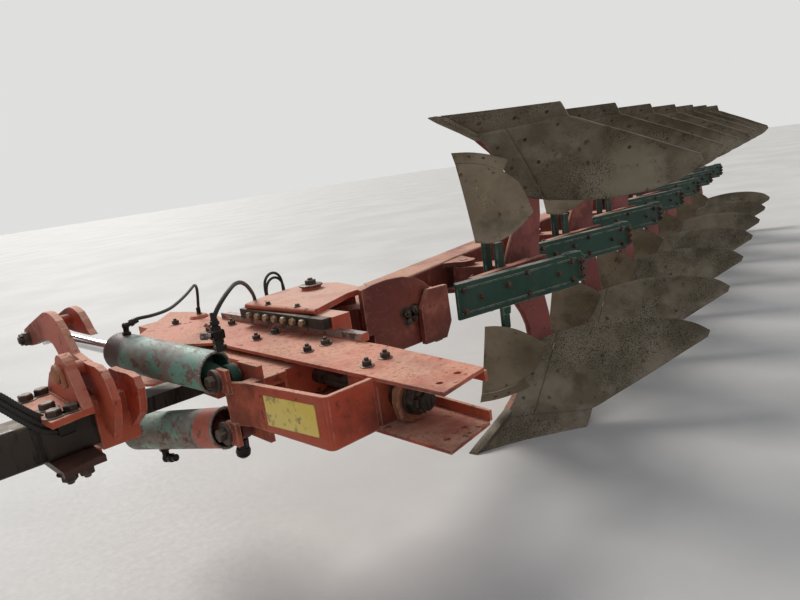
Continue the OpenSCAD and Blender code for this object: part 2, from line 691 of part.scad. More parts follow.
module wheel_arm() color(red) placed() {
    y = rear_y - 216;
    pin_y(y, y + 130, arm_x, mid, arm_d - fit);
    pin_y(y - 225, y, arm_x, mid, 120);
    side_plate(y - 225, y - 175, [[arm_x - 50, mid + 60], [arm_x + 60, mid + 40], [arm_x + 40, mid - 60],
        [wheel_x + 75, wheel_r - 50], [wheel_x - 60, wheel_r - 60], [wheel_x - 60, wheel_r + 60]]);
    pin_y(wheel_y - 70, y - 215, wheel_x, wheel_r, arm_d - fit);
}

module wheel_hub() color(dark) placed() difference() {
    pin_y(wheel_y - 80, wheel_y + 90, wheel_x, wheel_r, 190);
    pin_y(wheel_y - 75, wheel_y + 100, wheel_x, wheel_r, arm_d);
}

module on_wheel() placed() translate([wheel_x, wheel_y, wheel_r]) rotate([90, 0, 0])
    rotate_extrude($fn = 64) children();

module wheel_rim() color(red) on_wheel()
    polygon([[95, -10], [190, -10], [210, -120], [225, -120], [225, 120], [210, 120], [190, 10], [95, 10]]);

module wheel_tyre() color(dark) on_wheel() {
    w = wheel_w / 2;
    polygon([[225, -118], [300, -w], [wheel_r - 60, -w + 2], [wheel_r - 20, -w + 30], [wheel_r, -w + 70],
        [wheel_r, w - 70], [wheel_r - 20, w - 30], [wheel_r - 60, w - 2], [300, w], [225, 118]]);
}

headstock();
parking_stand();
swivel_housing();
front_tube();
tube_clamps();
hook_plates();
shift_carriage();
cross_frame();
box_wall();
guide_shaft();
barrel(1);  // upper_barrel
barrel(-1);  // lower_barrel
rod(1);  // upper_rod
rod(-1);  // lower_rod
beam_slide();
clamp_bars();
beam_head();
main_beam();
link_bar();
for (k = [1:body_count]) {
    bracket(k);
    legs(k);
    mouldboards(k);
    shares(k);
    skimmers(k);
}
wheel_arm();
wheel_hub();
wheel_rim();
wheel_tyre();
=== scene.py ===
import json
import math

import bmesh
import bpy
import numpy as np
from mathutils import Matrix, Vector


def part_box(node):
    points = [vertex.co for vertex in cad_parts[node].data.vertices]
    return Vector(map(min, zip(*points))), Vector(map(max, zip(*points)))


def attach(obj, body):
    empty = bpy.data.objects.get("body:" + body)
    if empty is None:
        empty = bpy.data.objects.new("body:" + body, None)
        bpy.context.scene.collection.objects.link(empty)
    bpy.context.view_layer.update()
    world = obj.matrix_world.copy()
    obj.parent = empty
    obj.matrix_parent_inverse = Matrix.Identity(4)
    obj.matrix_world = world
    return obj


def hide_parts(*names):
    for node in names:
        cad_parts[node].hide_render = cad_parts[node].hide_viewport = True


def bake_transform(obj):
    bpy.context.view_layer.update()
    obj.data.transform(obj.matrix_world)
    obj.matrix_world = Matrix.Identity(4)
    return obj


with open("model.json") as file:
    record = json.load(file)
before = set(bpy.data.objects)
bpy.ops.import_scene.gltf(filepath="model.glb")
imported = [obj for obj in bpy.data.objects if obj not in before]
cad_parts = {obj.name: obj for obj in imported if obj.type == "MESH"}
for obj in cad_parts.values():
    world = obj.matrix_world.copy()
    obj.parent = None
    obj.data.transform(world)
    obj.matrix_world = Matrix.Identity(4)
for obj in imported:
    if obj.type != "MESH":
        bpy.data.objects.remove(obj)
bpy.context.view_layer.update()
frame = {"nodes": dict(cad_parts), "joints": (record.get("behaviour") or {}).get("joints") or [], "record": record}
print("frame loaded:", len(frame["nodes"]), "nodes")

# every place below is in millimetres from the tip of the first lower share, +X to the tractor, +Y to the
# side that both rows throw to
bodyCount = 7
joints = {j["name"]: j for j in frame["joints"]}
pivotPlace = np.array(joints["vario"]["pos_m"])
bodyPivots = [np.array(joints[f"body_{k}_pivot"]["pos_m"]) for k in range(1, bodyCount + 1)]
pivotFromTip = (0.740, -0.16617)
tip = np.array([pivotPlace[0] - pivotFromTip[0], pivotPlace[1] - pivotFromTip[1], 0.0])
middle = pivotPlace[2] * 1000  # height of the plane between both rows
bodySteps = [(p - bodyPivots[0]) * 1000 for p in bodyPivots]
random = np.random.default_rng(7)

cameraSettings = {
    "place": (2.398, 2.304, 1.593),  # metres from the same tip
    "right": (-0.72318, 0.67729, -0.13527),
    "down": (0.23580, 0.05803, -0.97007),
    "look": (-0.64917, -0.73343, -0.20167),
    "focalPixels": 650.4, "imageWidth": 800, "sensor": 36.0, "near": 0.05, "far": 300,
}


def makeCamera(s):
    data = bpy.data.cameras.new("camera")
    data.sensor_width = s["sensor"]
    data.lens = s["focalPixels"] * s["sensor"] / s["imageWidth"]
    data.clip_start, data.clip_end = s["near"], s["far"]
    cam = bpy.data.objects.new("camera", data)
    right, down, look = (Vector(s[k]) for k in ("right", "down", "look"))
    turn = Matrix((right, -down, -look)).transposed().to_4x4()
    cam.matrix_world = Matrix.Translation(Vector(s["place"]) + Vector(tip)) @ turn
    bpy.context.scene.collection.objects.link(cam)
    bpy.context.scene.camera = cam


makeCamera(cameraSettings)
print("camera placed")


# materials

maskSettings = {
    "edgeTurn": (0.004, 0.10),  # 1 less the dot product of the bevelled and the flat normal
    "dustTilt": (0.2, 0.9),  # upward part of the normal
    "grainRange": (0.50, 0.60), "brokenScale": 0.8, "layerRough": 0.65,
    "coreSoft": 0.001, "reachSoft": 0.01, "bevelSamples": 4,
    "fadeRange": (0.36, 0.64), "roughRange": (0.3, 0.7), "smoother": 0.08, "rougher": 0.1,
    "grainHeight": 0.25, "bumpDepth": 0.002, "specular": 0.25,
}


def feed(tree, node, inputs):  # links each input that is a socket and sets the others
    for key, value in inputs.items():
        if isinstance(value, bpy.types.NodeSocket):
            tree.links.new(value, node.inputs[key])
        else:
            node.inputs[key].default_value = value


def addNode(tree, kind, inputs=None, **settings):
    node = tree.nodes.new(kind)
    for key, value in settings.items():
        setattr(node, key, value)
    feed(tree, node, inputs or {})
    return node


def colour(c):
    return (c[0], c[1], c[2], 1.0)


def ramp(tree, value, low, high):  # 0 below low, 1 above high, smooth between
    return addNode(tree, "ShaderNodeMapRange", {0: value, 1: low, 2: high},
                   interpolation_type="SMOOTHSTEP").outputs[0]


def maths(tree, operation, *values):
    return addNode(tree, "ShaderNodeMath", dict(enumerate(values)), operation=operation).outputs[0]


def vectorMaths(tree, operation, a, b, output):
    return addNode(tree, "ShaderNodeVectorMath", {0: a, 1: b}, operation=operation).outputs[output]


def times(tree, a, b):
    return maths(tree, "MULTIPLY", a, b)


def mixed(tree, mask, a, b):  # a number between a and b
    return addNode(tree, "ShaderNodeMix", {0: mask, 2: a, 3: b}).outputs[0]


def mixedColour(tree, mask, a, b):
    return addNode(tree, "ShaderNodeMix", {0: mask, 6: a, 7: b}, data_type="RGBA").outputs[2]


def bevelled(tree, radius):  # normal of an edge rounded by the radius
    return addNode(tree, "ShaderNodeBevel", {"Radius": radius},
                   samples=maskSettings["bevelSamples"]).outputs[0]


def noise(tree, place, scale, detail=4.0, rough=0.6, stretch=(1, 1, 1)):
    if stretch != (1, 1, 1):
        place = addNode(tree, "ShaderNodeMapping", {0: place, 3: stretch}).outputs[0]
    return addNode(tree, "ShaderNodeTexNoise", {"Vector": place, "Scale": scale, "Detail": detail,
                                                "Roughness": rough}).outputs["Fac"]


def layerMask(tree, place, normal, s):
    # where a layer of dirt, rust or wear lies, from 0 to 1
    m, kind = maskSettings, s["kind"]
    spread = noise(tree, place, s.get("scale", 8), s.get("detail", 6), m["layerRough"],
                   s.get("stretch", (1, 1, 1)))
    low, high = s.get("range", (0.5, 0.6))
    if kind == "patches":
        mask = ramp(tree, spread, low, high)
    elif kind == "edges":  # the bevelled normal leaves the flat one near an edge
        flat = addNode(tree, "ShaderNodeNewGeometry").outputs["Normal"]
        dot = vectorMaths(tree, "DOT_PRODUCT", bevelled(tree, s["width"]), flat, "Value")
        off = maths(tree, "SUBTRACT", 1.0, dot)
        mask = times(tree, ramp(tree, off, *m["edgeTurn"]), ramp(tree, spread, low, high))
    elif kind == "dust":  # lies on what faces up
        up = addNode(tree, "ShaderNodeSeparateXYZ", {0: normal}).outputs["Z"]
        mask = times(tree, ramp(tree, up, *m["dustTilt"]), ramp(tree, spread, low, high))
    elif kind == "scratches":  # thin lines where a noise passes its middle value, broken by a second one
        away = maths(tree, "ABSOLUTE", maths(tree, "SUBTRACT", spread, 0.5))
        broken = noise(tree, place, s["scale"] * m["brokenScale"], 3)
        mask = times(tree, ramp(tree, away, s["width"], 0.0), ramp(tree, broken, low, high))
    elif kind == "speckle":  # fine pits and grains inside slow patches
        grains = noise(tree, place, s["grains"], 2, 0.5)
        mask = times(tree, ramp(tree, spread, low, high), ramp(tree, grains, *m["grainRange"]))
    elif kind == "band":  # between two places along a direction
        along = vectorMaths(tree, "DOT_PRODUCT", place, s["direction"], "Value")
        wave = maths(tree, "MULTIPLY_ADD", spread, s["wobble"], along)
        mask = times(tree, ramp(tree, wave, s["from"] - s["soft"], s["from"] + s["soft"]),
                     ramp(tree, wave, s["to"] + s["soft"], s["to"] - s["soft"]))
    elif kind == "core":  # nearer an axis than a radius, and not further along it than a reach
        away = vectorMaths(tree, "SUBTRACT", place, s["eye"], 0)
        run = vectorMaths(tree, "DOT_PRODUCT", away, s["direction"], "Value")
        axis = addNode(tree, "ShaderNodeVectorMath", {0: s["direction"], "Scale": run},
                       operation="SCALE").outputs[0]
        off = vectorMaths(tree, "DISTANCE", away, axis, "Value")
        mask = times(tree, ramp(tree, off, s["radius"] + m["coreSoft"], s["radius"] - m["coreSoft"]),
                     ramp(tree, run, s["reach"] + m["reachSoft"], s["reach"]))
    return times(tree, mask, s["amount"])


def layeredMaterial(name, s):
    # a base colour varied by slow noise, then each layer laid over it through its own mask
    m = maskSettings
    material = bpy.data.materials.new(name)
    material.use_nodes = True
    tree = material.node_tree
    coords = addNode(tree, "ShaderNodeTexCoord")
    place, normal = coords.outputs["Object"], coords.outputs["Normal"]
    slow = noise(tree, place, s.get("fadeScale", 2.2), 5, 0.6)
    tone = mixedColour(tree, ramp(tree, slow, *m["fadeRange"]), colour(s["colour"]), colour(s["faded"]))
    fine = noise(tree, place, s.get("grain", 90), 5, 0.7)
    low, high = m["roughRange"]
    rough = addNode(tree, "ShaderNodeMapRange", {0: fine, 1: low, 2: high, 3: s["roughness"] - m["smoother"],
                                                 4: s["roughness"] + m["rougher"]}).outputs[0]
    metal = s["metal"]
    height = times(tree, fine, m["grainHeight"])
    for row in s.get("layers", []):
        mask = layerMask(tree, place, normal, row)
        tone = mixedColour(tree, mask, tone, colour(row["colour"]))
        if "roughness" in row:
            rough = mixed(tree, mask, rough, row["roughness"])
        if "metal" in row:
            metal = mixed(tree, mask, metal, row["metal"])
        if "height" in row:
            height = maths(tree, "MULTIPLY_ADD", mask, row["height"], height)
    relief = {"Height": height, "Strength": s.get("bump", 0.5), "Distance": m["bumpDepth"]}
    if "round" in s:  # sharp edges catch light as rounded ones do
        relief["Normal"] = bevelled(tree, s["round"])
    bump = addNode(tree, "ShaderNodeBump", relief).outputs[0]
    feed(tree, tree.nodes["Principled BSDF"], {"Base Color": tone, "Roughness": rough, "Metallic": metal,
                                               "Specular IOR Level": m["specular"], "Normal": bump})
    return material


def layer(kind, shade, scale, low, high, amount, **more):
    # the scale of its noise, the values of it between which the layer sets in, and how much of it shows
    return dict(more, kind=kind, colour=shade, scale=scale, range=(low, high), amount=amount)


rust = (0.12, 0.045, 0.022)
redSettings = {
    "colour": (0.43, 0.062, 0.029), "faded": (0.50, 0.112, 0.055), "roughness": 0.5, "metal": 0.0,
    "round": 0.004, "layers": [
        layer("patches", (0.44, 0.15, 0.095), 5, 0.50, 0.68, 0.5, roughness=0.7),
        layer("patches", (0.085, 0.030, 0.020), 2.6, 0.49, 0.64, 0.72, detail=8, roughness=0.75),
        layer("dust", (0.66, 0.385, 0.27), 3.5, 0.28, 0.60, 0.76, roughness=0.85),
        layer("dust", (0.40, 0.13, 0.06), 70, 0.52, 0.60, 0.6, detail=3),
        layer("patches", rust, 26, 0.60, 0.66, 0.8, detail=9, roughness=0.9, height=-0.5),
        layer("scratches", (0.55, 0.33, 0.26), 7, 0.45, 0.6, 0.45, stretch=(1, 1, 3), width=0.004),
        layer("edges", (0.60, 0.36, 0.28), 22, 0.36, 0.58, 0.75, width=0.007, roughness=0.7, height=-0.3),
        layer("edges", (0.10, 0.05, 0.03), 34, 0.54, 0.61, 0.85, width=0.006, roughness=0.9),
    ],
}
# red darkened as painted shade, for the sides of the beam and its head under the top plate
shadedRedSettings = dict(redSettings, colour=(0.125, 0.021, 0.014), faded=(0.20, 0.044, 0.027))
# red darkened as painted shade, for the legs
shadedLegSettings = dict(redSettings, colour=(0.20, 0.036, 0.030), faded=(0.29, 0.068, 0.055))
dustySettings = dict(redSettings, layers=redSettings["layers"] + [
    layer("dust", (0.70, 0.47, 0.38), 4, 0.25, 0.55, 0.6, roughness=0.9)])
lowShadeSettings = dict(redSettings, layers=redSettings["layers"] + [  # black painted shade low on the tube's flanges, under the tube
    {"kind": "band", "direction": (0, 0, 1), "from": -1.0, "to": 0.94, "soft": 0.035, "wobble": 0.16,
     "scale": 6, "colour": (0.030, 0.021, 0.017), "amount": 0.9, "roughness": 0.4}])
greenSettings = {
    "colour": (0.009, 0.036, 0.023), "faded": (0.016, 0.054, 0.036), "roughness": 0.5, "metal": 0.0,
    "round": 0.003, "layers": [
        layer("dust", (0.36, 0.34, 0.28), 6, 0.3, 0.6, 0.8, roughness=0.85),
        layer("patches", (0.040, 0.062, 0.047), 6, 0.5, 0.7, 0.7),
        layer("patches", rust, 30, 0.62, 0.67, 0.7, detail=9, roughness=0.9, height=-0.4),
        layer("edges", (0.40, 0.37, 0.30), 20, 0.40, 0.56, 0.85, width=0.006, roughness=0.7),
    ],
}
tealSettings = {
    "colour": (0.10, 0.29, 0.19), "faded": (0.21, 0.37, 0.29), "roughness": 0.4, "metal": 0.0,
    "fadeScale": 5, "layers": [
        layer("patches", (0.25, 0.175, 0.14), 5.5, 0.46, 0.55, 0.85, detail=8, roughness=0.6, height=-0.3),
        layer("patches", (0.20, 0.075, 0.06), 19, 0.53, 0.58, 0.8, detail=9, stretch=(3, 1, 1.4),
              roughness=0.7, height=-0.4),
        layer("scratches", (0.17, 0.065, 0.055), 7, 0.42, 0.50, 0.9, stretch=(2.5, 1, 1.6), width=0.007,
              height=-0.4),
        layer("scratches", (0.10, 0.10, 0.085), 11, 0.45, 0.52, 0.8, stretch=(1, 3, 2), width=0.006,
              height=-0.4),
        layer("dust", (0.47, 0.53, 0.48), 7, 0.3, 0.62, 0.6, roughness=0.7),
    ],
}
steelSettings = {
    "colour": (0.115, 0.093, 0.061), "faded": (0.20, 0.168, 0.118), "roughness": 0.46, "metal": 0.3,
    "fadeScale": 3, "grain": 160, "layers": [
        layer("patches", (0.24, 0.205, 0.16), 3.2, 0.5, 0.7, 0.6, stretch=(1, 2.2, 2.2), roughness=0.38),
        layer("patches", (0.062, 0.044, 0.028), 3.6, 0.52, 0.70, 0.6, detail=7, roughness=0.7, metal=0.1),
        layer("patches", (0.085, 0.045, 0.022), 13, 0.60, 0.66, 0.8, detail=9, roughness=0.8, metal=0.0,
              height=0.4),
        layer("speckle", (0.026, 0.020, 0.013), 2.2, 0.42, 0.56, 0.8, grains=150, roughness=0.8, metal=0.0,
              height=-0.5),
        layer("scratches", (0.28, 0.25, 0.20), 5, 0.42, 0.6, 0.45, stretch=(1, 7, 7), width=0.004),
        layer("dust", (0.30, 0.25, 0.19), 3, 0.36, 0.62, 0.5, roughness=0.85, metal=0.0),
    ],
}
skimmerSettings = dict(
    steelSettings, colour=(0.16, 0.122, 0.078), faded=(0.25, 0.20, 0.135), roughness=0.38,
    layers=steelSettings["layers"][1:3] + [
        layer("patches", (0.40, 0.30, 0.16), 4, 0.52, 0.72, 0.5, roughness=0.3, metal=0.7),
        layer("speckle", (0.05, 0.035, 0.022), 4, 0.50, 0.64, 0.7, grains=150, roughness=0.8)])
darkSettings = {
    "colour": (0.026, 0.020, 0.015), "faded": (0.050, 0.038, 0.028), "roughness": 0.45, "metal": 0.2,
    "round": 0.004, "layers": [
        layer("patches", (0.12, 0.080, 0.052), 5, 0.55, 0.68, 0.7, roughness=0.8),
        layer("patches", (0.010, 0.008, 0.007), 5, 0.48, 0.60, 0.85, stretch=(5, 5, 0.8), roughness=0.2),
        layer("dust", (0.22, 0.175, 0.13), 8, 0.36, 0.62, 0.65, roughness=0.85),
        layer("edges", (0.18, 0.14, 0.11), 22, 0.4, 0.6, 0.6, width=0.006),
    ],
}
boltSettings = {
    "colour": (0.040, 0.030, 0.024), "faded": (0.085, 0.062, 0.048), "roughness": 0.42, "metal": 0.5,
    "fadeScale": 11, "round": 0.0015, "layers": [
        layer("patches", (0.15, 0.065, 0.035), 40, 0.52, 0.62, 0.6, roughness=0.85, metal=0.0),
        layer("dust", (0.30, 0.235, 0.19), 30, 0.38, 0.6, 0.6, roughness=0.7, metal=0.2),
    ],
}
goldSettings = dict(boltSettings, colour=(0.24, 0.165, 0.095), faded=(0.40, 0.30, 0.19), roughness=0.35)
greaseSettings = dict(boltSettings, colour=(0.014, 0.012, 0.010), faded=(0.028, 0.023, 0.018), roughness=0.28,
                      layers=[layer("dust", (0.10, 0.085, 0.07), 40, 0.45, 0.62, 0.6, roughness=0.6)])
railSettings = {
    "colour": (0.24, 0.21, 0.19), "faded": (0.36, 0.32, 0.29), "roughness": 0.35, "metal": 0.6, "layers": [
        layer("patches", (0.40, 0.14, 0.09), 14, 0.53, 0.6, 0.7, roughness=0.6, metal=0.0),
        layer("patches", (0.035, 0.026, 0.02), 22, 0.5, 0.58, 0.8, roughness=0.4, metal=0.0),
    ],
}
rustySettings = dict(redSettings, colour=(0.30, 0.095, 0.035), faded=(0.42, 0.17, 0.075), roughness=0.75)
weldSettings = dict(tealSettings, colour=(0.26, 0.29, 0.22), faded=(0.38, 0.37, 0.29), roughness=0.75)
chromeSettings = {
    "colour": (0.60, 0.60, 0.61), "faded": (0.70, 0.70, 0.71), "roughness": 0.16, "metal": 1.0, "bump": 0.05,
    "layers": [
        layer("scratches", (0.35, 0.33, 0.30), 9, 0.45, 0.6, 0.5, stretch=(1, 6, 6), width=0.006,
              roughness=0.4),
        layer("patches", (0.16, 0.11, 0.075), 9, 0.58, 0.66, 0.8, roughness=0.7, metal=0.3),
    ],
}
rubberSettings = {
    "colour": (0.018, 0.016, 0.014), "faded": (0.034, 0.030, 0.026), "roughness": 0.5, "metal": 0.0,
    "grain": 220, "layers": [layer("dust", (0.13, 0.11, 0.09), 20, 0.4, 0.62, 0.5, roughness=0.85)],
}
tyreSettings = dict(rubberSettings, roughness=0.72, layers=[
    layer("patches", (0.11, 0.09, 0.07), 4, 0.44, 0.66, 0.6, roughness=0.9)])
plateSettings = {
    "colour": (0.80, 0.58, 0.11), "faded": (0.84, 0.66, 0.22), "roughness": 0.5, "metal": 0.0, "layers": [
        layer("patches", (0.36, 0.27, 0.14), 22, 0.53, 0.62, 0.7, detail=8, roughness=0.8),
        layer("patches", (0.10, 0.08, 0.05), 30, 0.60, 0.66, 0.6),
        layer("edges", (0.30, 0.20, 0.10), 40, 0.4, 0.55, 0.6, width=0.004),
    ],
}

# the two side shift cylinders: eyes on the box wall, rods towards the hook plates
cylinderSettings = {"eye": (1464, 361, 91), "nose": (1750, -612, 219), "radius": 70.0, "skirt": 65.0,
                    "skirtDepth": 0.15}


def cylinderAxis(s, side):  # eye and direction of the upper (1) or lower (-1) cylinder, in millimetres
    eye, nose = (np.array([x, y, middle + side * z]) for x, y, z in (s["eye"], s["nose"]))
    return eye, (nose - eye) / np.linalg.norm(nose - eye)


def bandAlong(side, start, end, soft, wobble, **more):  # layer between two distances from a cylinder's eye
    eye, along = cylinderAxis(cylinderSettings, side)
    zero = float(along @ (eye / 1000 + tip))
    return dict({"kind": "band", "direction": tuple(along.tolist()), "from": zero + start, "to": zero + end,
                 "soft": soft, "wobble": wobble, "scale": 9}, **more)


def skirtShadeOf(side, shade):  # painted shade on what lies inside a barrel's skirt
    eye, along = cylinderAxis(cylinderSettings, side)
    return {"kind": "core", "eye": tuple(eye / 1000 + tip), "direction": tuple(along.tolist()),
            "radius": cylinderSettings["skirt"] / 1000, "reach": cylinderSettings["skirtDepth"],
            "colour": shade, "roughness": 0.5, "amount": 0.92}


upperBarrelSettings = dict(tealSettings, layers=tealSettings["layers"] + [
    bandAlong(1, 0.53, 0.75, 0.016, 0.10, colour=(0.115, 0.085, 0.078), roughness=0.5, amount=0.92),
    # dark band at the eye end: painted shade where the eye sits on the box wall
    bandAlong(1, -0.2, 0.02, 0.03, 0.05, colour=(0.018, 0.045, 0.032), roughness=0.5, amount=0.9),
    skirtShadeOf(1, (0.012, 0.050, 0.030))])
lowerBarrelSettings = dict(
    tealSettings, colour=(0.20, 0.36, 0.27), faded=(0.34, 0.42, 0.34), layers=tealSettings["layers"] + [
        bandAlong(-1, 0.53, 0.75, 0.02, 0.10, colour=(0.17, 0.125, 0.11), roughness=0.5, amount=0.8),
        bandAlong(-1, -0.2, 0.175, 0.004, 0.02, colour=(0.52, 0.13, 0.085), roughness=0.5, amount=0.9),
        skirtShadeOf(-1, (0.10, 0.025, 0.017)),
        layer("patches", (0.13, 0.06, 0.045), 12, 0.56, 0.62, 0.6, detail=8, roughness=0.8)])
redPaint = layeredMaterial("redPaint", redSettings)
shadedRedPaint = layeredMaterial("shadedRedPaint", shadedRedSettings)
shadedLegPaint = layeredMaterial("shadedLegPaint", shadedLegSettings)
dustyPaint = layeredMaterial("dustyPaint", dustySettings)
lowShadePaint = layeredMaterial("lowShadePaint", lowShadeSettings)
railSteel = layeredMaterial("railSteel", railSettings)
rustyPaint = layeredMaterial("rustyPaint", rustySettings)
weldMetal = layeredMaterial("weldMetal", weldSettings)
upperBarrelPaint = layeredMaterial("upperBarrelPaint", upperBarrelSettings)
lowerBarrelPaint = layeredMaterial("lowerBarrelPaint", lowerBarrelSettings)
greenPaint = layeredMaterial("greenPaint", greenSettings)
tealPaint = layeredMaterial("tealPaint", tealSettings)
wornSteel = layeredMaterial("wornSteel", steelSettings)
skimmerSteel = layeredMaterial("skimmerSteel", skimmerSettings)
darkSteel = layeredMaterial("darkSteel", darkSettings)
boltSteel = layeredMaterial("boltSteel", boltSettings)
goldSteel = layeredMaterial("goldSteel", goldSettings)
greasedSteel = layeredMaterial("greasedSteel", greaseSettings)
chrome = layeredMaterial("chrome", chromeSettings)
rubber = layeredMaterial("rubber", rubberSettings)
tyreRubber = layeredMaterial("tyreRubber", tyreSettings)
blankPlate = layeredMaterial("blankPlate", plateSettings)
slotFinish = {"red_paint": redPaint, "green_paint": greenPaint, "teal_paint": tealPaint, "rod_chrome": chrome,
              "worn_steel": wornSteel, "dark_steel": darkSteel, "tyre_rubber": tyreRubber}
# main_beam and beam_head take a red darkened as painted shade
ownFinish = {"upper_barrel": upperBarrelPaint, "lower_barrel": lowerBarrelPaint, "guide_shaft": darkSteel,
             "main_beam": shadedRedPaint, "beam_head": shadedRedPaint, "beam_slide": dustyPaint,
             # tube_clamps take a red with black painted shade low down
             "tube_clamps": lowShadePaint}
# the legs take a red darkened as painted shade
ownFinish.update({f"legs_{k}": shadedLegPaint for k in range(1, bodyCount + 1)})
for part in frame["record"]["subparts"]:
    mesh = frame["nodes"][part["node"]].data
    mesh.materials.clear()
    mesh.materials.append(ownFinish.get(part["node"], slotFinish[part["material_slot"]]))
print("materials made:", len(bpy.data.materials))


# shapes: each function returns its points in millimetres from the share tip, and its faces

def unit(v):
    v = np.asarray(v, float)
    return v / np.linalg.norm(v, axis=-1, keepdims=True)


def joined(shapes):
    points, faces, count = [], [], 0
    for p, f in shapes:
        points.append(p)
        faces += [[i + count for i in face] for face in f]
        count += len(p)
    return np.vstack(points), faces


def flipped(shape):  # the same shape in the other row
    p, f = shape
    return p * [1, 1, -1] + [0, 0, 2 * middle], f


def moved(shape, step):
    return shape[0] + np.asarray(step), shape[1]


def bothRows(shape, step=(0, 0, 0)):  # a shape and its mirror image in the other row, moved by a step
    return joined([moved(shape, step), moved(flipped(shape), step)])


def gridShape(p, around=False, caps=False):
    # rows of points p[i, j] joined by quads, row to row, closed round each row when around is set
    n, m = p.shape[:2]
    i, j = np.meshgrid(np.arange(n - 1), np.arange(m if around else m - 1), indexing="ij")
    k = (j + 1) % m
    faces = np.stack([i * m + j, i * m + k, (i + 1) * m + k, (i + 1) * m + j], -1).reshape(-1, 4).tolist()
    if caps:
        faces += [list(range(m))[::-1], [(n - 1) * m + q for q in range(m)]]
    return p.reshape(-1, 3), faces


def sheetShape(front, back):
    # closed plate between two grids of points of the same size
    n, m = front.shape[:2]
    points = np.vstack([front.reshape(-1, 3), back.reshape(-1, 3)])
    a = gridShape(front)[1]
    faces = a + [[q + n * m for q in f[::-1]] for f in a]
    rim = ([(i, 0) for i in range(n)] + [(n - 1, j) for j in range(1, m)]
           + [(i, m - 1) for i in range(n - 2, -1, -1)] + [(0, j) for j in range(m - 2, 0, -1)])
    ids = [i * m + j for i, j in rim]
    faces += [[ids[q], ids[q] + n * m, ids[(q + 1) % len(ids)] + n * m, ids[(q + 1) % len(ids)]]
              for q in range(len(ids))]
    return points, faces


def turned(profile, start, direction, sides=24, first=0.0):
    # profile of (distance, radius) pairs carried round the line from start along direction
    d = unit(direction)
    a = unit(np.cross(d, (0, 0, 1) if abs(d[2]) < 0.9 else (1, 0, 0)))
    angle = np.linspace(0, 2 * np.pi, sides, endpoint=False) + first
    ring = np.cos(angle)[:, None] * a + np.sin(angle)[:, None] * np.cross(d, a)
    profile = np.asarray(profile, float)
    p = np.asarray(start, float) + profile[:, :1, None] * d + profile[:, 1:, None] * ring
    return gridShape(p, True, True)


def turnedParts(rows, origin=(0, 0, 0)):  # one turned shape for each profile, place, direction and sides
    return [turned(profile, np.asarray(place, float) + origin, direction, sides)
            for profile, place, direction, sides in rows]


def inset(outline, amount):
    # outline moved inwards by amount along the mitre of each corner, for a counter-clockwise outline
    p = np.asarray(outline, float)
    e = unit(np.roll(p, -1, 0) - p)
    normal = np.stack([-e[:, 1], e[:, 0]], 1)
    mitre = unit(normal + np.roll(normal, 1, 0))
    share = np.clip((mitre * normal).sum(1), 0.35, 1)
    return p + mitre * (amount / share)[:, None]


def slab(outline, low, high, edge, origin=(0, 0, 0), axes=((1, 0, 0), (0, 1, 0), (0, 0, 1))):
    # outline in the plane of the first two axes, carried along the third from low to high, edges chamfered
    a, b, c = (np.asarray(v, float) for v in axes)
    outline = np.asarray(outline, float)
    area = (outline[:, 0] * np.roll(outline[:, 1], -1) - outline[:, 1] * np.roll(outline[:, 0], -1)).sum()
    if area < 0:
        outline = outline[::-1]
    small = inset(outline, edge)
    rings = [(small, low), (outline, low + edge), (outline, high - edge), (small, high)]
    p = np.stack([q[:, :1] * a + q[:, 1:] * b + h * c for q, h in rings]) + np.asarray(origin, float)
    return gridShape(p, True, True)


def box(low, high, edge=2.0):
    (x0, y0, z0), (x1, y1, z1) = np.asarray(low, float), np.asarray(high, float)
    return slab([(x0, y0), (x1, y0), (x1, y1), (x0, y1)], z0, z1, edge)


def smoothBetween(a, b, c, d, f):
    # cubic curve from b to c as f goes from 0 to 1, where a comes before b and d after c
    return 0.5 * (2 * b + f * (c - a) + f * f * (2 * a - 5 * b + 4 * c - d)
                  + f ** 3 * (3 * b - a - 3 * c + d))


def smoothPath(points, count):
    # count points evenly along a smooth curve through the given ones
    p = np.asarray(points, float)
    q = np.vstack([2 * p[0] - p[1], p, 2 * p[-1] - p[-2]])
    u = np.linspace(0, len(p) - 1, 40 * len(p))
    i = np.minimum(u.astype(int), len(p) - 2)
    f = (u - i)[:, None]
    curve = smoothBetween(q[i], q[i + 1], q[i + 2], q[i + 3], f)
    run = np.concatenate([[0], np.cumsum(np.linalg.norm(np.diff(curve, axis=0), axis=1))])
    even = np.linspace(0, run[-1], count)
    return np.stack([np.interp(even, run, curve[:, k]) for k in range(3)], 1)


def swept(path, radius, sides=12, ribs=None):
    # circle carried along a path; ribs is (spacing, height) of rings round a hose
    path = np.asarray(path, float)
    along = unit(np.gradient(path, axis=0))
    side = unit(np.cross(along, (0.13, 0.21, 1.0)))
    angle = np.linspace(0, 2 * np.pi, sides, endpoint=False)
    ring = np.cos(angle)[:, None] * side[:, None] + np.sin(angle)[:, None] * np.cross(along, side)[:, None]
    r = np.full(len(path), float(radius))
    if ribs:
        run = np.concatenate([[0], np.cumsum(np.linalg.norm(np.diff(path, axis=0), axis=1))])
        r = r + ribs[1] * np.cos(2 * np.pi * run / ribs[0])
    return gridShape(path[:, None] + r[:, None, None] * ring, True, True)


def addPiece(name, shape, body, material, smooth=30):
    # puts a shape into a piece that rides on a body, with its normals outwards
    points, faces = shape
    mesh = bpy.data.meshes.new(name)
    mesh.from_pydata((points / 1000 + tip).tolist(), [], faces)
    work = bmesh.new()
    work.from_mesh(mesh)
    bmesh.ops.recalc_face_normals(work, faces=work.faces)
    work.to_mesh(mesh)
    work.free()
    mesh.shade_smooth()
    if smooth < 180:
        mesh.set_sharp_from_angle(angle=math.radians(smooth))
    mesh.materials.append(material)
    piece = bpy.data.objects.new(name, mesh)
    bpy.context.scene.collection.objects.link(piece)
    if body:
        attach(piece, body)
    return piece


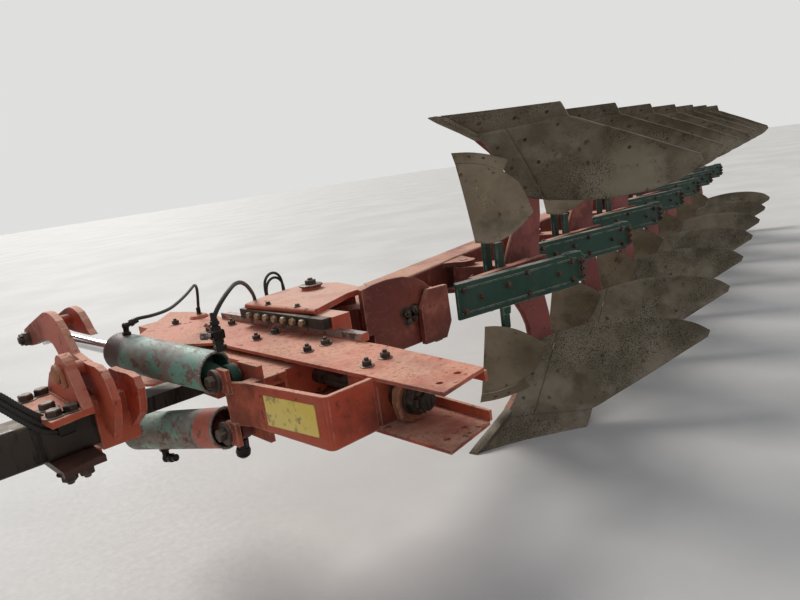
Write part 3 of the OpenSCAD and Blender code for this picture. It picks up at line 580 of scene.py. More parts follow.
def hexBolt(place, direction, across, height=None, washer=True, stud=0.0, turn=0.0):
    # chamfered six-sided head on a washer, or a nut with the stud's end standing out of it
    place, d = np.asarray(place, float), unit(direction)
    height = height or 0.62 * across
    radius = across / math.sqrt(3)
    base = 3.0 if washer else 0.0
    shapes = []
    if washer:
        shapes.append(turned([(-1, across * 0.84), (2.2, across * 0.84), (3, across * 0.79)], place, d, 20))
    shapes.append(turned([(base - 1, radius), (base + height - 3, radius), (base + height, radius * 0.84)],
                         place, d, 6, turn))
    if stud:
        shapes.append(turned([(base + height - 1, across * 0.27), (base + height + stud - 2, across * 0.27),
                              (base + height + stud, across * 0.22)], place, d, 12))
    return joined(shapes)


# hoses

hoseSettings = {
    "radius": 7.0, "valveRadius": 8.0, "sides": 12, "pointStep": 9,  # distance between two points of a path
    "ribs": (9.0, 0.9), "ribbedRadius": 9.0, "ribbedStep": 3,
    # from the upper barrel's gland port to a boss near the right end of the cross frame's top plate
    "gland": [(1600, -116, 1150), (1588, -121, 1162), (1563, -135, 1168), (1533, -150, 1166),
              (1459, -215, 1153), (1372, -300, 1143), (1297, -385, 1141), (1193, -505, 1150),
              (1112, -602, 1162), (1078, -646, 1166), (1052, -682, 1157), (1037, -710, 1132),
              (1032, -728, 1098), (1033, -738, 1060), (1036, -743, 1022)],
    # from the valve at the upper barrel's eye end to the rail's rear face, past the cover's right side
    "valve": [(1448, 290, 1090), (1448, 286, 1120), (1447, 279, 1152), (1441, 274, 1178), (1420, 268, 1204),
              (1385, 250, 1228), (1339, 215, 1246), (1279, 150, 1252), (1212, 70, 1240), (1138, -30, 1209),
              (1070, -130, 1171), (1010, -220, 1130), (968, -290, 1092), (950, -345, 1066), (943, -395, 1042),
              (942, -434, 1021)],
    # loop beside the cover, between two ports of the beam's head; a second one stands next to it
    "loopStart": (868, -356, 1044), "loopAcross": (-0.9704, -0.2415, 0), "loopRise": 77.0, "loopRadius": 58.0,
    "loopPoints": 7, "loopStep": (-20, -26, -28), "loopHose": 6.5,
    # three along the tube, from its left side to the turnover bearing's flange
    "tube": [(1948, 101, 926), (1975, 104, 938), (2004, 104, 962), (2040, 102, 1002), (2077, 100, 1048),
             (2125, 96, 1092), (2190, 88, 1128), (2280, 76, 1146), (2390, 62, 1140), (2500, 48, 1112),
             (2610, 36, 1066), (2710, 28, 1018), (2790, 24, 992), (2828, 22, 986)],
    "tubeSteps": [(0, 0, 0), (-2, 1, 21), (-6, 2, 42)],
}


def addHose(name, points, body, radius, ribs=None, blendTo=None):
    run = np.linalg.norm(np.diff(np.asarray(points, float), axis=0), axis=1).sum()
    step = hoseSettings["ribbedStep" if ribs else "pointStep"]
    path = smoothPath(points, int(run / step) + 2)
    shape = swept(path, radius, hoseSettings["sides"], ribs)
    piece = addPiece(name, shape, None if blendTo else body, rubber, 180)
    if blendTo:
        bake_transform(piece)


def loopPath(s):
    # two legs and a half circle of even steps between them
    start, across, r = np.array(s["loopStart"], float), np.array(s["loopAcross"]), s["loopRadius"]
    top = start + [0, 0, s["loopRise"]]
    arc = [top + r * (1 - math.cos(t)) * across + [0, 0, r * math.sin(t)]
           for t in np.linspace(0, math.pi, s["loopPoints"])]
    half = (start + top) / 2
    return np.array([start, half] + arc + [half + 2 * r * across, start + 2 * r * across])


def makeHoses(s):
    addHose("glandHose", s["gland"], "upper_barrel", s["radius"], blendTo="cross")
    addHose("valveHose", s["valve"], "upper_barrel", s["valveRadius"], blendTo="cross")
    addHose("headHose", loopPath(s), "beam", s["loopHose"])
    addHose("headHoseOuter", loopPath(s) + s["loopStep"], "beam", s["loopHose"])
    for q, step in enumerate(s["tubeSteps"]):
        addHose(f"tubeHose_{q + 1}", np.array(s["tube"]) + step, "tube", s["ribbedRadius"], s["ribs"])


makeHoses(hoseSettings)
print("hoses laid")

# fittings of the hoses; a row of turned parts gives each one's profile, foot, direction and sides

fittingSettings = {
    # elbow: place, direction of its foot, direction of its hose, size
    "glandElbow": ((1603, -120, 1122), (-0.05, 0.08, 1), (-0.93, 0.1, 0.25), 1.05),
    "frameElbow": ((976, -472, 1003), (-1, 0, 0), (0, 0.9, 0.45)),
    "lowerElbow": ((0, 0.06, -1), (-0.25, 0.95, 0.15), 1.3),
    "lowerAt": 435.0, "lowerDrop": (0, 6, -66),  # along the lower barrel from its eye, and down from its axis
    # straight fitting: place, direction, size
    "valvePort": ((1448, 290, 1066), (0, -0.1, 1), 1.4),
    "framePort": ((1036, -743, 1000), (0, 0, 1)),
    "boss": [([(-2, 8), (-1, 46), (5, 46), (15, 38), (20, 22), (21, 8)], (1036, -750, 989), (0, 0, 1), 28)],
    # stop valve: block, cap nuts, side spindle and a small screw on top
    "valveBlock": ([(-21, -17), (21, -17), (21, 17), (-21, 17)], 0, 34, 4, (1448, 284, 1104)),
    "valveParts": [
        ([(0, 19), (14, 19), (16, 16)], (1448, 284, 1090), (0, 0, 1), 6),
        ([(0, 17), (14, 17), (16, 12), (20, 12), (20.1, 16), (32, 16), (34, 13), (40, 13), (40.1, 11),
          (62, 11), (63, 9)], (1448, 283, 1134), (-0.1, -0.2, 1), 12),
        ([(0, 12), (8, 12), (9, 10)], (1448, 268, 1120), (0, -1, 0), 6)],
    "spindleParts": [
        ([(0, 10), (12, 10), (12.1, 13), (34, 13), (37, 10)], (1468, 284, 1122), (0.8, -0.6, 0.1), 16),
        ([(0, 4), (22, 4), (22.1, 7), (30, 7)], (1460, 276, 1138), (0.5, -0.4, 0.8), 10)],
    "lowerParts": [  # from the lower barrel's eye
        ([(0, 20), (30, 20), (32, 17)], (4, 0, -40), (0, -0.12, -1), 6),
        ([(0, 12), (8, 22), (20, 26), (34, 24), (44, 14), (46, 6)], (4, -6, -66), (0, -0.2, -1), 16)],
    "headDrop": 30.0, "headBlock": ((-14, -12, -28), (14, 60, 2)), "headBlockMore": 24,
    "tubeBlocks": [((1896, 88, 908), (1946, 114, 984), 4), ((2812, 2, 972), (2832, 44, 1040), 3)],
}


def elbowFitting(place, up, out, size=1.0):
    # hexagon on a port, a neck up from it, a ball at the corner and a hexagon towards the hose
    place, up, out = np.asarray(place, float), unit(up), unit(out)
    r = size
    corner = place + 34 * r * up
    shapes = [turned([(-2, 15 * r), (10 * r, 15 * r), (12 * r, 13 * r)], place, up, 6),
              turned([(10 * r, 10 * r), (30 * r, 10 * r)], place, up, 14),
              turned([(-12 * r, 2 * r), (-11 * r, 7 * r), (-7 * r, 11.5 * r), (0, 13 * r), (7 * r, 11.5 * r),
                      (11 * r, 7 * r), (12 * r, 2 * r)], corner, up, 14),
              turned([(8 * r, 9 * r), (16 * r, 9 * r), (16.1 * r, 13 * r), (27 * r, 13 * r),
                      (28 * r, 10.5 * r), (44 * r, 10.5 * r), (45 * r, 9 * r)], corner, out, 16)]
    return joined(shapes)


def portFitting(place, direction, size=1.0):  # bulkhead hexagon with a ferrule standing on it
    r = size
    return joined([turned([(-2, 16 * r), (11 * r, 16 * r), (13 * r, 14 * r)], place, direction, 6),
                   turned([(11 * r, 10.5 * r), (40 * r, 10.5 * r), (42 * r, 9 * r)], place, direction, 16)])


def makeFittings(s):
    gland = joined([elbowFitting(*s["glandElbow"]), portFitting(*s["valvePort"])])
    addPiece("barrelFittings", gland, "upper_barrel", greasedSteel)
    valve = joined([slab(*s["valveBlock"])] + turnedParts(s["valveParts"]))
    addPiece("stopValve", valve, "upper_barrel", greasedSteel)
    addPiece("valveSpindle", joined(turnedParts(s["spindleParts"])), "upper_barrel", railSteel)
    eye, along = cylinderAxis(cylinderSettings, -1)
    elbow = elbowFitting(eye + s["lowerAt"] * along + s["lowerDrop"], *s["lowerElbow"])
    lower = joined([elbow] + turnedParts(s["lowerParts"], eye))
    addPiece("lowerFittings", lower, "lower_barrel", greasedSteel)
    addPiece("hoseBoss", joined(turnedParts(s["boss"])), "cross", redPaint)
    ports = joined([elbowFitting(*s["frameElbow"]), portFitting(*s["framePort"])])
    addPiece("crossPorts", ports, "cross", greasedSteel)
    loop, step = loopPath(hoseSettings), np.array(hoseSettings["loopStep"])
    low, high = s["headBlock"]
    ports = []
    for end in (loop[0], loop[-1]):
        for q in (0, 1):
            foot = end + q * step - [0, 0, s["headDrop"]]
            ports.append(portFitting(foot, (0, 0, 1)))
            ports.append(box(foot + low, foot + high + [0, q * s["headBlockMore"], 0], 3))
    addPiece("headPorts", joined(ports), "beam", greasedSteel)
    addPiece("tubePorts", joined([box(*row) for row in s["tubeBlocks"]]), "tube", greasedSteel)


makeFittings(fittingSettings)
print("fittings made")

# plough bodies: the upper row is the lower one's mirror image

bodySettings = {
    "boardThickness": 9.0, "shareThickness": 12.0, "skimmerThickness": 7.0, "legThickness": 38.0,
    "edgeRound": 2.5,  # how far the plates' front edges are rounded back
    "shinEnd": 0.95, "shinGap": 0.012,  # seam between shin and board, in stations
    "boardBolts": [(0.42, 0.24), (0.42, 0.55), (0.45, 0.84), (1.35, 0.20), (1.42, 0.52), (2.6, 0.10),
                   (3.1, 0.62), (4.6, 0.35)],
    "shareBolts": [(0.55, 0.55), (1.5, 0.55), (2.5, 0.55)],
    "skimmerBolts": [(0.9, 0.45), (1.7, 0.45)],
    "boltRadius": 11.0,
    # stays from the leg to the board: x and z on the leg, then the station and height on the board
    "stays": [(-700, -630, 330, 390, 1.05, 0.62), (-560, -480, 110, 170, 1.0, 0.16)],
    "shareLug": ((-470, -380), 120, (30, 62)),
}
# board stations from shin to tail: bottom point, top point, depth of the hollow
boardTable = np.array([
    [-300, 28, 106, -622, 52, 482, 14],
    [-430, 130, 100, -720, 136, 512, 30],
    [-560, 235, 88, -822, 225, 533, 46],
    [-690, 330, 78, -925, 335, 547, 58],
    [-850, 432, 145, -1030, 455, 545, 60],
    [-1030, 545, 225, -1135, 585, 527, 50],
    [-1200, 655, 308, -1245, 700, 480, 28],
    [-1338, 742, 372, -1345, 754, 408, 4]], float)
boardBack = np.array([-0.62, -0.50, -0.60])
shareEdge = np.array([[-40, 34, 0], [-275, 138, 0], [-440, 238, 0], [-600, 342, 0], [-740, 440, 0]], float)
# skimmer stations from its shin to its tail, same columns
skimmerTable = np.array([
    [-262, -108, 240, -222, 8, 668, 8],
    [-315, -40, 250, -238, 90, 674, 30],
    [-365, 30, 276, -280, 165, 655, 42],
    [-410, 95, 316, -342, 225, 605, 34],
    [-450, 160, 378, -405, 268, 540, 14]], float)
skimmerBack = np.array([-0.86, -0.42, -0.28])
stemSettings = {"front": -277.0, "rear": -335.0, "width": 25.0, "footDepth": 48.0, "chamfer": 4.0,
                "lower": {"side": 78.0, "far": 1120.0, "foot": 3.28, "slope": 2.33},
                "upper": {"side": -5.0, "far": 1060.0, "foot": 1.85, "slope": 1.83}}


def smoothRows(table, u):
    # smooth curve through the rows of a table at places u
    u = np.asarray(u, float)
    last = len(table) - 1
    i = np.clip(np.floor(u).astype(int), 0, last - 1)
    f = (u - i)[..., None]
    return smoothBetween(*(table[np.clip(i + k, 0, last)] for k in (-1, 0, 1, 2)), f)


def onPlate(table, back, u, v, depth=0.0):
    # straight line from the bottom to the top point, pushed back as a parabola whose depth the table gives
    row = smoothRows(table, u)
    v = np.asarray(v, float)[..., None]
    hollow = 4 * v * (1 - v) * row[..., 6:7] + np.asarray(depth, float)[..., None]
    return row[..., :3] * (1 - v) + row[..., 3:6] * v + hollow * back


def edged(low, high, steps, margin):  # even steps with one close to each end
    return np.concatenate([[low, low + margin], np.linspace(low + margin, high - margin, steps)[1:-1],
                           [high - margin, high]])


def curvedPlate(table, back, thickness, low, high, steps, across, round):
    # plate whose front face follows the table, its edges rounded back over a few millimetres
    u = edged(low, high, steps, 0.03)
    v = edged(0.0, 1.0, across, 0.008)
    uu, vv = np.meshgrid(u, v, indexing="ij")
    rim = np.zeros_like(uu)
    rim[0], rim[-1], rim[:, 0], rim[:, -1] = round, round, round, round
    return sheetShape(onPlate(table, back, uu, vv, rim), onPlate(table, back, uu, vv, thickness + 0 * uu))


def chamfered(rings, cut):
    # each ring of corner points gets two points in place of each corner
    rings = np.asarray(rings, float)
    ahead = unit(np.roll(rings, -1, 1) - rings)
    behind = unit(np.roll(rings, 1, 1) - rings)
    p = np.stack([rings + cut * behind, rings + cut * ahead], 2).reshape(len(rings), -1, 3)
    return gridShape(p, True, True)


def platePoint(table, back, u, v):
    # point on a plate's face and the direction that it faces
    p = onPlate(table, back, np.array([u, u + 0.05, u]), np.array([v, v, v + 0.02]))
    out = unit(np.cross(p[1] - p[0], p[2] - p[0]))
    return p[0], out if out @ back < 0 else -out


def plateBolt(place, out, radius):  # countersunk head with a small dish
    return turned([(-3, radius), (0.5, radius), (1.1, radius * 0.9), (1.1, radius * 0.5),
                   (0.2, radius * 0.4)], place, out, 16)


def stayShape(x0, x1, z0, z1, u, v, s):
    # bar from the leg's left face to the back of the board
    y = s["legThickness"] / 2
    start = np.array([[x0, y, z0], [x1, y, z0], [x1, y, z1], [x0, y, z1]], float)
    du, dv = np.array([0.22, -0.22, -0.22, 0.22]), np.array([-0.07, -0.07, 0.07, 0.07])
    end = onPlate(boardTable, boardBack, u + du, v + dv, np.full(4, s["boardThickness"] / 2))
    t = np.linspace(0, 1, 5)[:, None, None]
    return chamfered(start * (1 - t) + end * t, 5)


def shareShape(s):
    # strip between the cutting edge and the board's bottom edge, ground flat underneath
    u = np.linspace(0, 3.0625, 26)
    edge = smoothRows(shareEdge, u)
    seam = onPlate(boardTable, boardBack, u, 0 * u)
    seam = seam + 0.8 * unit(edge - seam)
    back = s["shareThickness"] * np.array([-0.55, -0.35, -0.76])
    w = np.array([0, 0.03, 0.2, 0.45, 0.7, 0.97, 1.0])[None, :, None]
    front = edge[:, None] * (1 - w) + seam[:, None] * w
    rear = front + back
    rear[..., 2] = np.maximum(rear[..., 2], edge[:, None, 2])
    front[:, -1] += back * 0.12
    return sheetShape(front, rear)


def pointShape():
    # bar point: four-cornered sections from the tip up to the shin
    rings = [
        [[0, -14, 0], [-8, 36, 0], [-14, 36, 8], [-6, -14, 8]],
        [[-60, -16, 6], [-64, 44, 6], [-72, 44, 34], [-66, -16, 34]],
        [[-210, -16, 66], [-210, 44, 66], [-222, 44, 92], [-222, -16, 92]],
        [[-330, -16, 118], [-330, 40, 118], [-344, 40, 142], [-344, -16, 142]]]
    return chamfered(rings, 2.2)


def stemShape(t, s):
    # foot along the back of the skimmer, then a flat stem up to the holder
    v = np.array([0.25, 0.4, 0.55, 0.7, 0.82, 0.9])
    u = t["foot"] - t["slope"] * v
    depth = np.full(len(v), s["skimmerThickness"] + 0.8)
    p = onPlate(skimmerTable, skimmerBack, u - 0.15, v, depth)
    q = onPlate(skimmerTable, skimmerBack, u + 0.15, v, depth)
    deep = np.array([-stemSettings["footDepth"], 0, 0])
    foot = np.stack([p, p + deep, q + deep, q], 1)
    x1, x0, w = stemSettings["front"], stemSettings["rear"], stemSettings["width"]
    stem = [[[x1, t["side"], z], [x0, t["side"], z], [x0, t["side"] + w, z], [x1, t["side"] + w, z]]
            for z in (650, 700, t["far"])]
    return chamfered(np.concatenate([foot, np.array(stem, float)]), stemSettings["chamfer"])


def skimmerDrop(u):  # from the skimmer's bottom edge down to the strip's cutting edge
    u = np.asarray(u, float)
    return np.stack([-2 - 14 * u, -20 + 8 * u, -56 + 0 * u], -1)


def skimmerStrip(s):
    # cutting strip under the skimmer's board
    u = np.linspace(0, 3, 16)
    seam = onPlate(skimmerTable, skimmerBack, u, 0 * u) - [0, 0, 0.8]
    edge = seam + skimmerDrop(u)
    w = np.array([0, 0.05, 0.5, 0.95, 1])[None, :, None]
    front = edge[:, None] * (1 - w) + seam[:, None] * w
    rear = front + s["skimmerThickness"] * skimmerBack
    rear[:, 0] = edge + [-9, -3, 0]
    return sheetShape(front, rear)


def makeBodies(s):
    t, r = s["boardThickness"], s["edgeRound"]
    shin = curvedPlate(boardTable, boardBack, t, 0.0, s["shinEnd"], 10, 26, r)
    board = curvedPlate(boardTable, boardBack, t, s["shinEnd"] + s["shinGap"], 7.0, 64, 26, r)
    plates = joined([shin, board] + [stayShape(*row, s) for row in s["stays"]])
    (x0, x1), y1, (z0, z1) = s["shareLug"]
    shares = joined([shareShape(s), pointShape(), box((x0, s["legThickness"] / 2, z0), (x1, y1, z1), 3)])
    skimmer = joined([curvedPlate(skimmerTable, skimmerBack, s["skimmerThickness"], 0.0, 4.0, 34, 20, r),
                      skimmerStrip(s)])
    heads = [plateBolt(*platePoint(boardTable, boardBack, u, v), s["boltRadius"]) for u, v in s["boardBolts"]]
    for u, w in s["shareBolts"]:
        edge, ahead = smoothRows(shareEdge, u), smoothRows(shareEdge, u + 0.1)
        seam = onPlate(boardTable, boardBack, u, 0.0)
        out = unit(np.cross(ahead - edge, seam - edge))
        out = out if out[2] > 0 else -out
        heads.append(plateBolt(edge * (1 - w) + seam * w, out, s["boltRadius"]))
    for u, w in s["skimmerBolts"]:
        seam = onPlate(skimmerTable, skimmerBack, u, 0.0)
        edge = seam + skimmerDrop(u)
        heads.append(plateBolt(edge * (1 - w) + seam * w, -unit(skimmerBack), s["boltRadius"] * 0.8))
    heads = joined(heads)
    stems = {row: stemShape(stemSettings[row], s) for row in ("lower", "upper")}
    for k, step in enumerate(bodySteps):
        body = f"body_{k + 1}"
        piece = addPiece(f"boards_{k + 1}", bothRows(plates, step), body, wornSteel, 50)
        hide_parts(f"mouldboards_{k + 1}")
        piece = addPiece(f"shareStrips_{k + 1}", bothRows(shares, step), body, wornSteel)
        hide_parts(f"shares_{k + 1}")
        piece = addPiece(f"skimmerBoards_{k + 1}", bothRows(skimmer, step), body, skimmerSteel,
                         50)
        pair = joined([moved(stems["lower"], step), moved(flipped(stems["upper"]), step)])
        stem = addPiece(f"skimmerStems_{k + 1}", pair, body, greenPaint)
        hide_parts(f"skimmers_{k + 1}")
        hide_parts(f"skimmers_{k + 1}")
        addPiece(f"boardBolts_{k + 1}", bothRows(heads, step), body, boltSteel)


makeBodies(bodySettings)
print("plough bodies made")

# trip housings beside the legs: bolts and ribs of the face, screws that clamp the skimmer stems

tripSettings = {
    "turn": math.radians(-10), "corner": (130.0, 150.0), "faceOut": 18.0, "boltSize": 24.0,
    "faceBolts": [(-40, 55), (-40, -55), (-150, 0), (-330, 20), (-470, 55), (-470, -55), (-700, 0),
                  (-800, 50), (-800, -50)],
    "ribHeights": (-62, 62), "rib": [(-835, -5), (-12, -5), (-12, 5), (-835, 5)],
    "clampX": -250, "clampSide": 12, "clampHeights": (-34, 34), "clampSize": 24, "clampStud": 10,
}


def tripAxes(s):  # corner of the first housing, its long direction and the way its face looks
    c, d = math.cos(s["turn"]), math.sin(s["turn"])
    return np.array([*s["corner"], middle]), np.array([c, d, 0]), np.array([-d, c, 0])


def makeTripParts(s):
    corner, along, out = tripAxes(s)

    def onFace(x, z):
        return corner + along * x + out * s["faceOut"] + [0, 0, z]

    bolts = [hexBolt(onFace(x, z), out, s["boltSize"]) for x, z in s["faceBolts"]]
    ribs = joined([slab(s["rib"], -1, 3, 1.2, onFace(0, z), (along, (0, 0, 1), out))
                   for z in s["ribHeights"]])
    for row in ("lower", "upper"):
        for z in s["clampHeights"]:
            place = (s["clampX"], stemSettings[row]["side"] + s["clampSide"], middle + z)
            bolts.append(hexBolt(place, (1, 0, 0), s["clampSize"], stud=s["clampStud"]))
    bolts = joined(bolts)
    for k, step in enumerate(bodySteps):
        body = f"body_{k + 1}"
        addPiece(f"tripBolts_{k + 1}", moved(bolts, step), body, boltSteel)
        addPiece(f"tripRibs_{k + 1}", moved(ribs, step), body, greenPaint)


makeTripParts(tripSettings)
print("trip housings dressed")

# cross frame: nuts on the plates, screws of the clamp bars, blank plate on the box wall

frameSettings = {
    "plateTop": 90.0,  # top plate over the middle plane
    "nuts": [(1054, -382), (1165, -382), (1156, 8), (1066, 3), (1169, 384), (1084, 378), (1188, 739),
             (1102, 730), (1165, -737)],
    "nutSize": 29.0, "nutHeight": 17.0, "studLength": 9.0,
    "clampX": 1050, "clampFirst": -201.0, "clampLast": 202.0, "clampHeight": 148.0, "clampBolts": 7,
    "clampBoltSize": 27.0, "clampBoltHeight": 17.0,
    "labelFrom": (1466.5, 556.0), "labelTo": (1438.5, 790.0), "labelLow": -42.0, "labelHeight": 100.0,
    "labelCorner": 3.0,
}


def makeFrameParts(s):
    nuts = [hexBolt((x, y, middle + s["plateTop"]), (0, 0, 1), s["nutSize"], s["nutHeight"],
                    stud=s["studLength"], turn=0.4 * q) for q, (x, y) in enumerate(s["nuts"])]
    addPiece("frameNuts", bothRows(joined(nuts)), "cross", boltSteel)
    across = np.linspace(s["clampFirst"], s["clampLast"], s["clampBolts"])
    screws = [hexBolt((s["clampX"], y, middle + s["clampHeight"]), (1, 0, 0), s["clampBoltSize"],
                      s["clampBoltHeight"], washer=False, turn=0.5 * q) for q, y in enumerate(across)]
    addPiece("clampScrews", bothRows(joined(screws)), "slide_head", goldSteel)
    a, b = np.array(s["labelFrom"]), np.array(s["labelTo"])
    run = unit(np.append(b - a, 0))
    out = np.array([run[1], -run[0], 0])
    x, z, c = np.linalg.norm(b - a), s["labelHeight"], s["labelCorner"]
    outline = [(c, 0), (x - c, 0), (x, c), (x, z - c), (x - c, z), (c, z), (0, z - c), (0, c)]
    plate = slab(outline, -2, 1.2, 0.4, (a[0], a[1], middle + s["labelLow"]), (run, (0, 0, 1), out))
    addPiece("blankPlate", plate, "cross", blankPlate)


makeFrameParts(frameSettings)
print("cross frame dressed")

# side shift cylinders: weld at the skirt, gland ring, washer and bolt in front of the eye

barrelSettings = {
    "weldAt": 74.0, "weldRadius": 4.6, "ripples": 46, "rippleHeight": 0.18, "roughness": 0.12,
    "weldSteps": 184, "weldSides": 7,
    "glandAt": 582.0, "gland": [(0, 30), (0.1, 36), (6, 36), (8, 33), (8.1, 30), (12, 29)],
    "eyeFront": 57, "washer": [(-1, 40), (7, 40), (9, 37)], "boltSize": 40, "boltHeight": 22,
    "boltTurn": 0.35,
}


def weldRing(centre, direction, radius, s):
    # small circle carried round the barrel, its radius rippled by a sine and a little noise
    d = unit(direction)
    a = unit(np.cross(d, (0, 0, 1)))
    n, m = s["weldSteps"], s["weldSides"]
    angle = np.linspace(0, 2 * np.pi, n, endpoint=False)
    ring = np.cos(angle)[:, None] * a + np.sin(angle)[:, None] * np.cross(d, a)
    ripple = s["rippleHeight"] * np.sin(s["ripples"] * angle) + s["roughness"] * random.standard_normal(n)
    size = s["weldRadius"] * (1 + ripple)
    turn = np.linspace(0, 2 * np.pi, m, endpoint=False)
    bead = np.cos(turn)[None, :, None] * ring[:, None] + np.sin(turn)[None, :, None] * d
    p = np.asarray(centre) + radius * ring[:, None] + size[:, None, None] * bead
    return gridShape(np.concatenate([p, p[:1]]), True)


def makeBarrels(s):
    for side, name in ((1, "upper"), (-1, "lower")):
        eye, along = cylinderAxis(cylinderSettings, side)
        weld = weldRing(eye + s["weldAt"] * along, along, cylinderSettings["radius"] - 1, s)
        addPiece(f"{name}Weld", weld, f"{name}_barrel", weldMetal, 60)
        ring = turned(s["gland"], eye + s["glandAt"] * along, along, 32)
        addPiece(f"{name}Gland", ring, f"{name}_barrel", greasedSteel)
        front = eye + [s["eyeFront"], 0, 0]
        bolt = hexBolt(front + [8, 0, 0], (1, 0, 0), s["boltSize"], s["boltHeight"], washer=False,
                       turn=s["boltTurn"])
        pair = joined([turned(s["washer"], front, (1, 0, 0), 32), bolt])
        addPiece(f"{name}EyeBolt", pair, "cross", boltSteel)


makeBarrels(barrelSettings)
print("cylinders dressed")

# tube side: bolts of the flanges, pin of the ear, nuts of the rods' noses

tubeSettings = {
    "flangeTop": 92.0, "flangeBolts": [(1966, -138), (1912, -157), (1948, 52), (1957, 158), (1906, 156)],
    "boltSize": 42.0, "topHeight": 20, "lowHeight": 26, "lowStud": 10,
    "earPin": ([(-2, 33), (5, 33), (9, 27), (10, 12)], (1896, 40, 189)), "earPlate": (1885, 82, 183),
    "earTilt": (0.96, 0.28), "noseNut": (1815, -612, 219), "noseNutSize": (50, 34),
    "noseWasher": [(0, 30), (5, 30), (6, 28)],
    "weldX": 1888, "weldFrom": -193, "weldTo": 188, "weldHeight": 93,
}


def castleNut(place, direction, across, height):
    # six-sided nut with a slotted crown of six teeth
    place, d = np.asarray(place, float), unit(direction)
    a = unit(np.cross(d, (0, 0, 1)))
    b = np.cross(d, a)
    shapes = [turned([(0, across / math.sqrt(3)), (height * 0.62, across / math.sqrt(3)),
                      (height * 0.66, across * 0.46)], place, d, 6),
              turned([(height * 0.3, across * 0.30), (height * 1.12, across * 0.30),
                      (height * 1.18, across * 0.25)], place, d, 16)]
    for q in range(6):
        t = q * math.pi / 3
        out = math.cos(t) * a + math.sin(t) * b
        shapes.append(slab([(across * 0.31, -across * 0.13), (across * 0.45, -across * 0.13),
                            (across * 0.45, across * 0.13), (across * 0.31, across * 0.13)],
                           height * 0.6, height, 1.0, place, (out, np.cross(d, out), d)))
    return joined(shapes)


def makeTube(s):
    feet = [(x, y, middle + s["flangeTop"]) for x, y in s["flangeBolts"]]
    tops = [hexBolt(foot, (0, 0, 1), s["boltSize"], s["topHeight"], turn=0.7 * q)
            for q, foot in enumerate(feet)]
    lows = [flipped(hexBolt(foot, (0, 0, 1), s["boltSize"], s["lowHeight"], stud=s["lowStud"], turn=0.5 * q))
            for q, foot in enumerate(feet)]
    addPiece("flangeBolts", joined(tops + lows), "tube", boltSteel)
    profile, (x, y, z) = s["earPin"]
    c, d = s["earTilt"]
    px, py, pz = s["earPlate"]
    ear = joined([turned(profile, (x, y, middle + z), (1, 0, 0), 28),
                  slab([(-9, -34), (9, -34), (9, 34), (-9, 34)], 0, 12, 2, (px, py, middle + pz),
                       ((0, c, d), (0, -d, c), (1, 0, 0)))])
    addPiece("earPin", ear, "tube", rustyPaint)
    x, y, z = s["noseNut"]
    nuts = [castleNut((x, y, middle + q * z), (1, 0, 0), *s["noseNutSize"]) for q in (1, -1)]
    nuts += [turned(s["noseWasher"], (x - 1, y, middle + q * z), (1, 0, 0), 24) for q in (1, -1)]
    addPiece("noseNuts", joined(nuts), "tube", boltSteel)
    line = [(s["weldX"], y, middle + s["weldHeight"]) for y in np.linspace(s["weldFrom"], s["weldTo"], 90)]
    addPiece("earWeld", swept(line, 4.5, 7, (8.0, 0.9)), "tube", redPaint, 60)


makeTube(tubeSettings)
print("tube side dressed")

# sliding head and beam front

headSettings = {
    "foldRadius": 12.0, "coverTop": 195.0, "coverFront": [(1037, -243), (1006, 238)],
    "coverBolts": [(1020, -90), (1006, 110)], "pivot": (740, -166.2), "pivotRise": 16,
    "pivotWasher": [(-1, 54), (5, 54), (7, 50)], "pivotBolt": (44, 22),
    # bolts on the beam head's side, then on its top, then in rows through the flange
    "webY": 190, "webBolts": [(506, 945, 36), (455, 949, 36), (461, 915, 26), (500, 905, 26)],
    "topBolts": [(424, -155, 1012), (409, 60, 1012), (345, 150, 1025)],
    "rowX": 360, "rowFrom": -290, "rowTo": 130, "rowBolts": 6, "rowHeights": (84, -88),
    "wornX": (976, 1009), "wornY": (-558, 498), "wornZ": (996, 1019.9), "wornDepth": 0.5,
}


def makeHead(s):
    a, b = (np.append(p, middle + s["coverTop"] - s["foldRadius"]) for p in s["coverFront"])
    fold = swept(a + (b - a) * np.linspace(0, 1, 12)[:, None], s["foldRadius"], 16)
    addPiece("coverFold", bothRows(fold), "slide_head", redPaint, 50)
    x, y = s["pivot"]
    cover = middle + s["coverTop"]
    top = cover + s["pivotRise"]
    bolts = [turned(s["pivotWasher"], (x, y, top), (0, 0, 1), 32),
             hexBolt((x, y, top + 6), (0, 0, 1), *s["pivotBolt"], washer=False, stud=8)]
    bolts += [hexBolt((px, py, cover), (0, 0, 1), 17, 10) for px, py in s["coverBolts"]]
    addPiece("headBolts", bothRows(joined(bolts)), "slide_head", boltSteel)
    web = [hexBolt((px, s["webY"], pz), (0, 1, 0), size, 18, stud=6) for px, pz, size in s["webBolts"]]
    web += [hexBolt(p, (0, 0, 1), 30, 18, stud=8) for p in s["topBolts"]]
    for y in np.linspace(s["rowFrom"], s["rowTo"], s["rowBolts"]):
        for z in s["rowHeights"]:
            web.append(hexBolt((s["rowX"], y, middle + z), (1, 0, 0), 30, 17, stud=8, turn=0.3 * y))
    addPiece("beamBolts", joined(web), "beam", boltSteel)
    # bare steel worn on the rails by the sliding head: on top and in front
    (x0, x1), (y0, y1), (z0, z1), deep = s["wornX"], s["wornY"], s["wornZ"], s["wornDepth"]
    rail = joined([slab([(x0, y0), (x1, y0), (x1, y1), (x0, y1)], z1, z1 + deep, 0.1),
                   slab([(y0, z0), (y1, z0), (y1, z1 - 2), (y0, z1 - 2)], 0, deep, 0.1, (x1 + 1, 0, 0),
                        ((0, 1, 0), (0, 0, 1), (1, 0, 0)))])
    addPiece("railWear", bothRows(rail), "cross", railSteel)


makeHead(headSettings)
print("sliding head dressed")

# left end of the guide shaft: lug plate, washer and castle nut

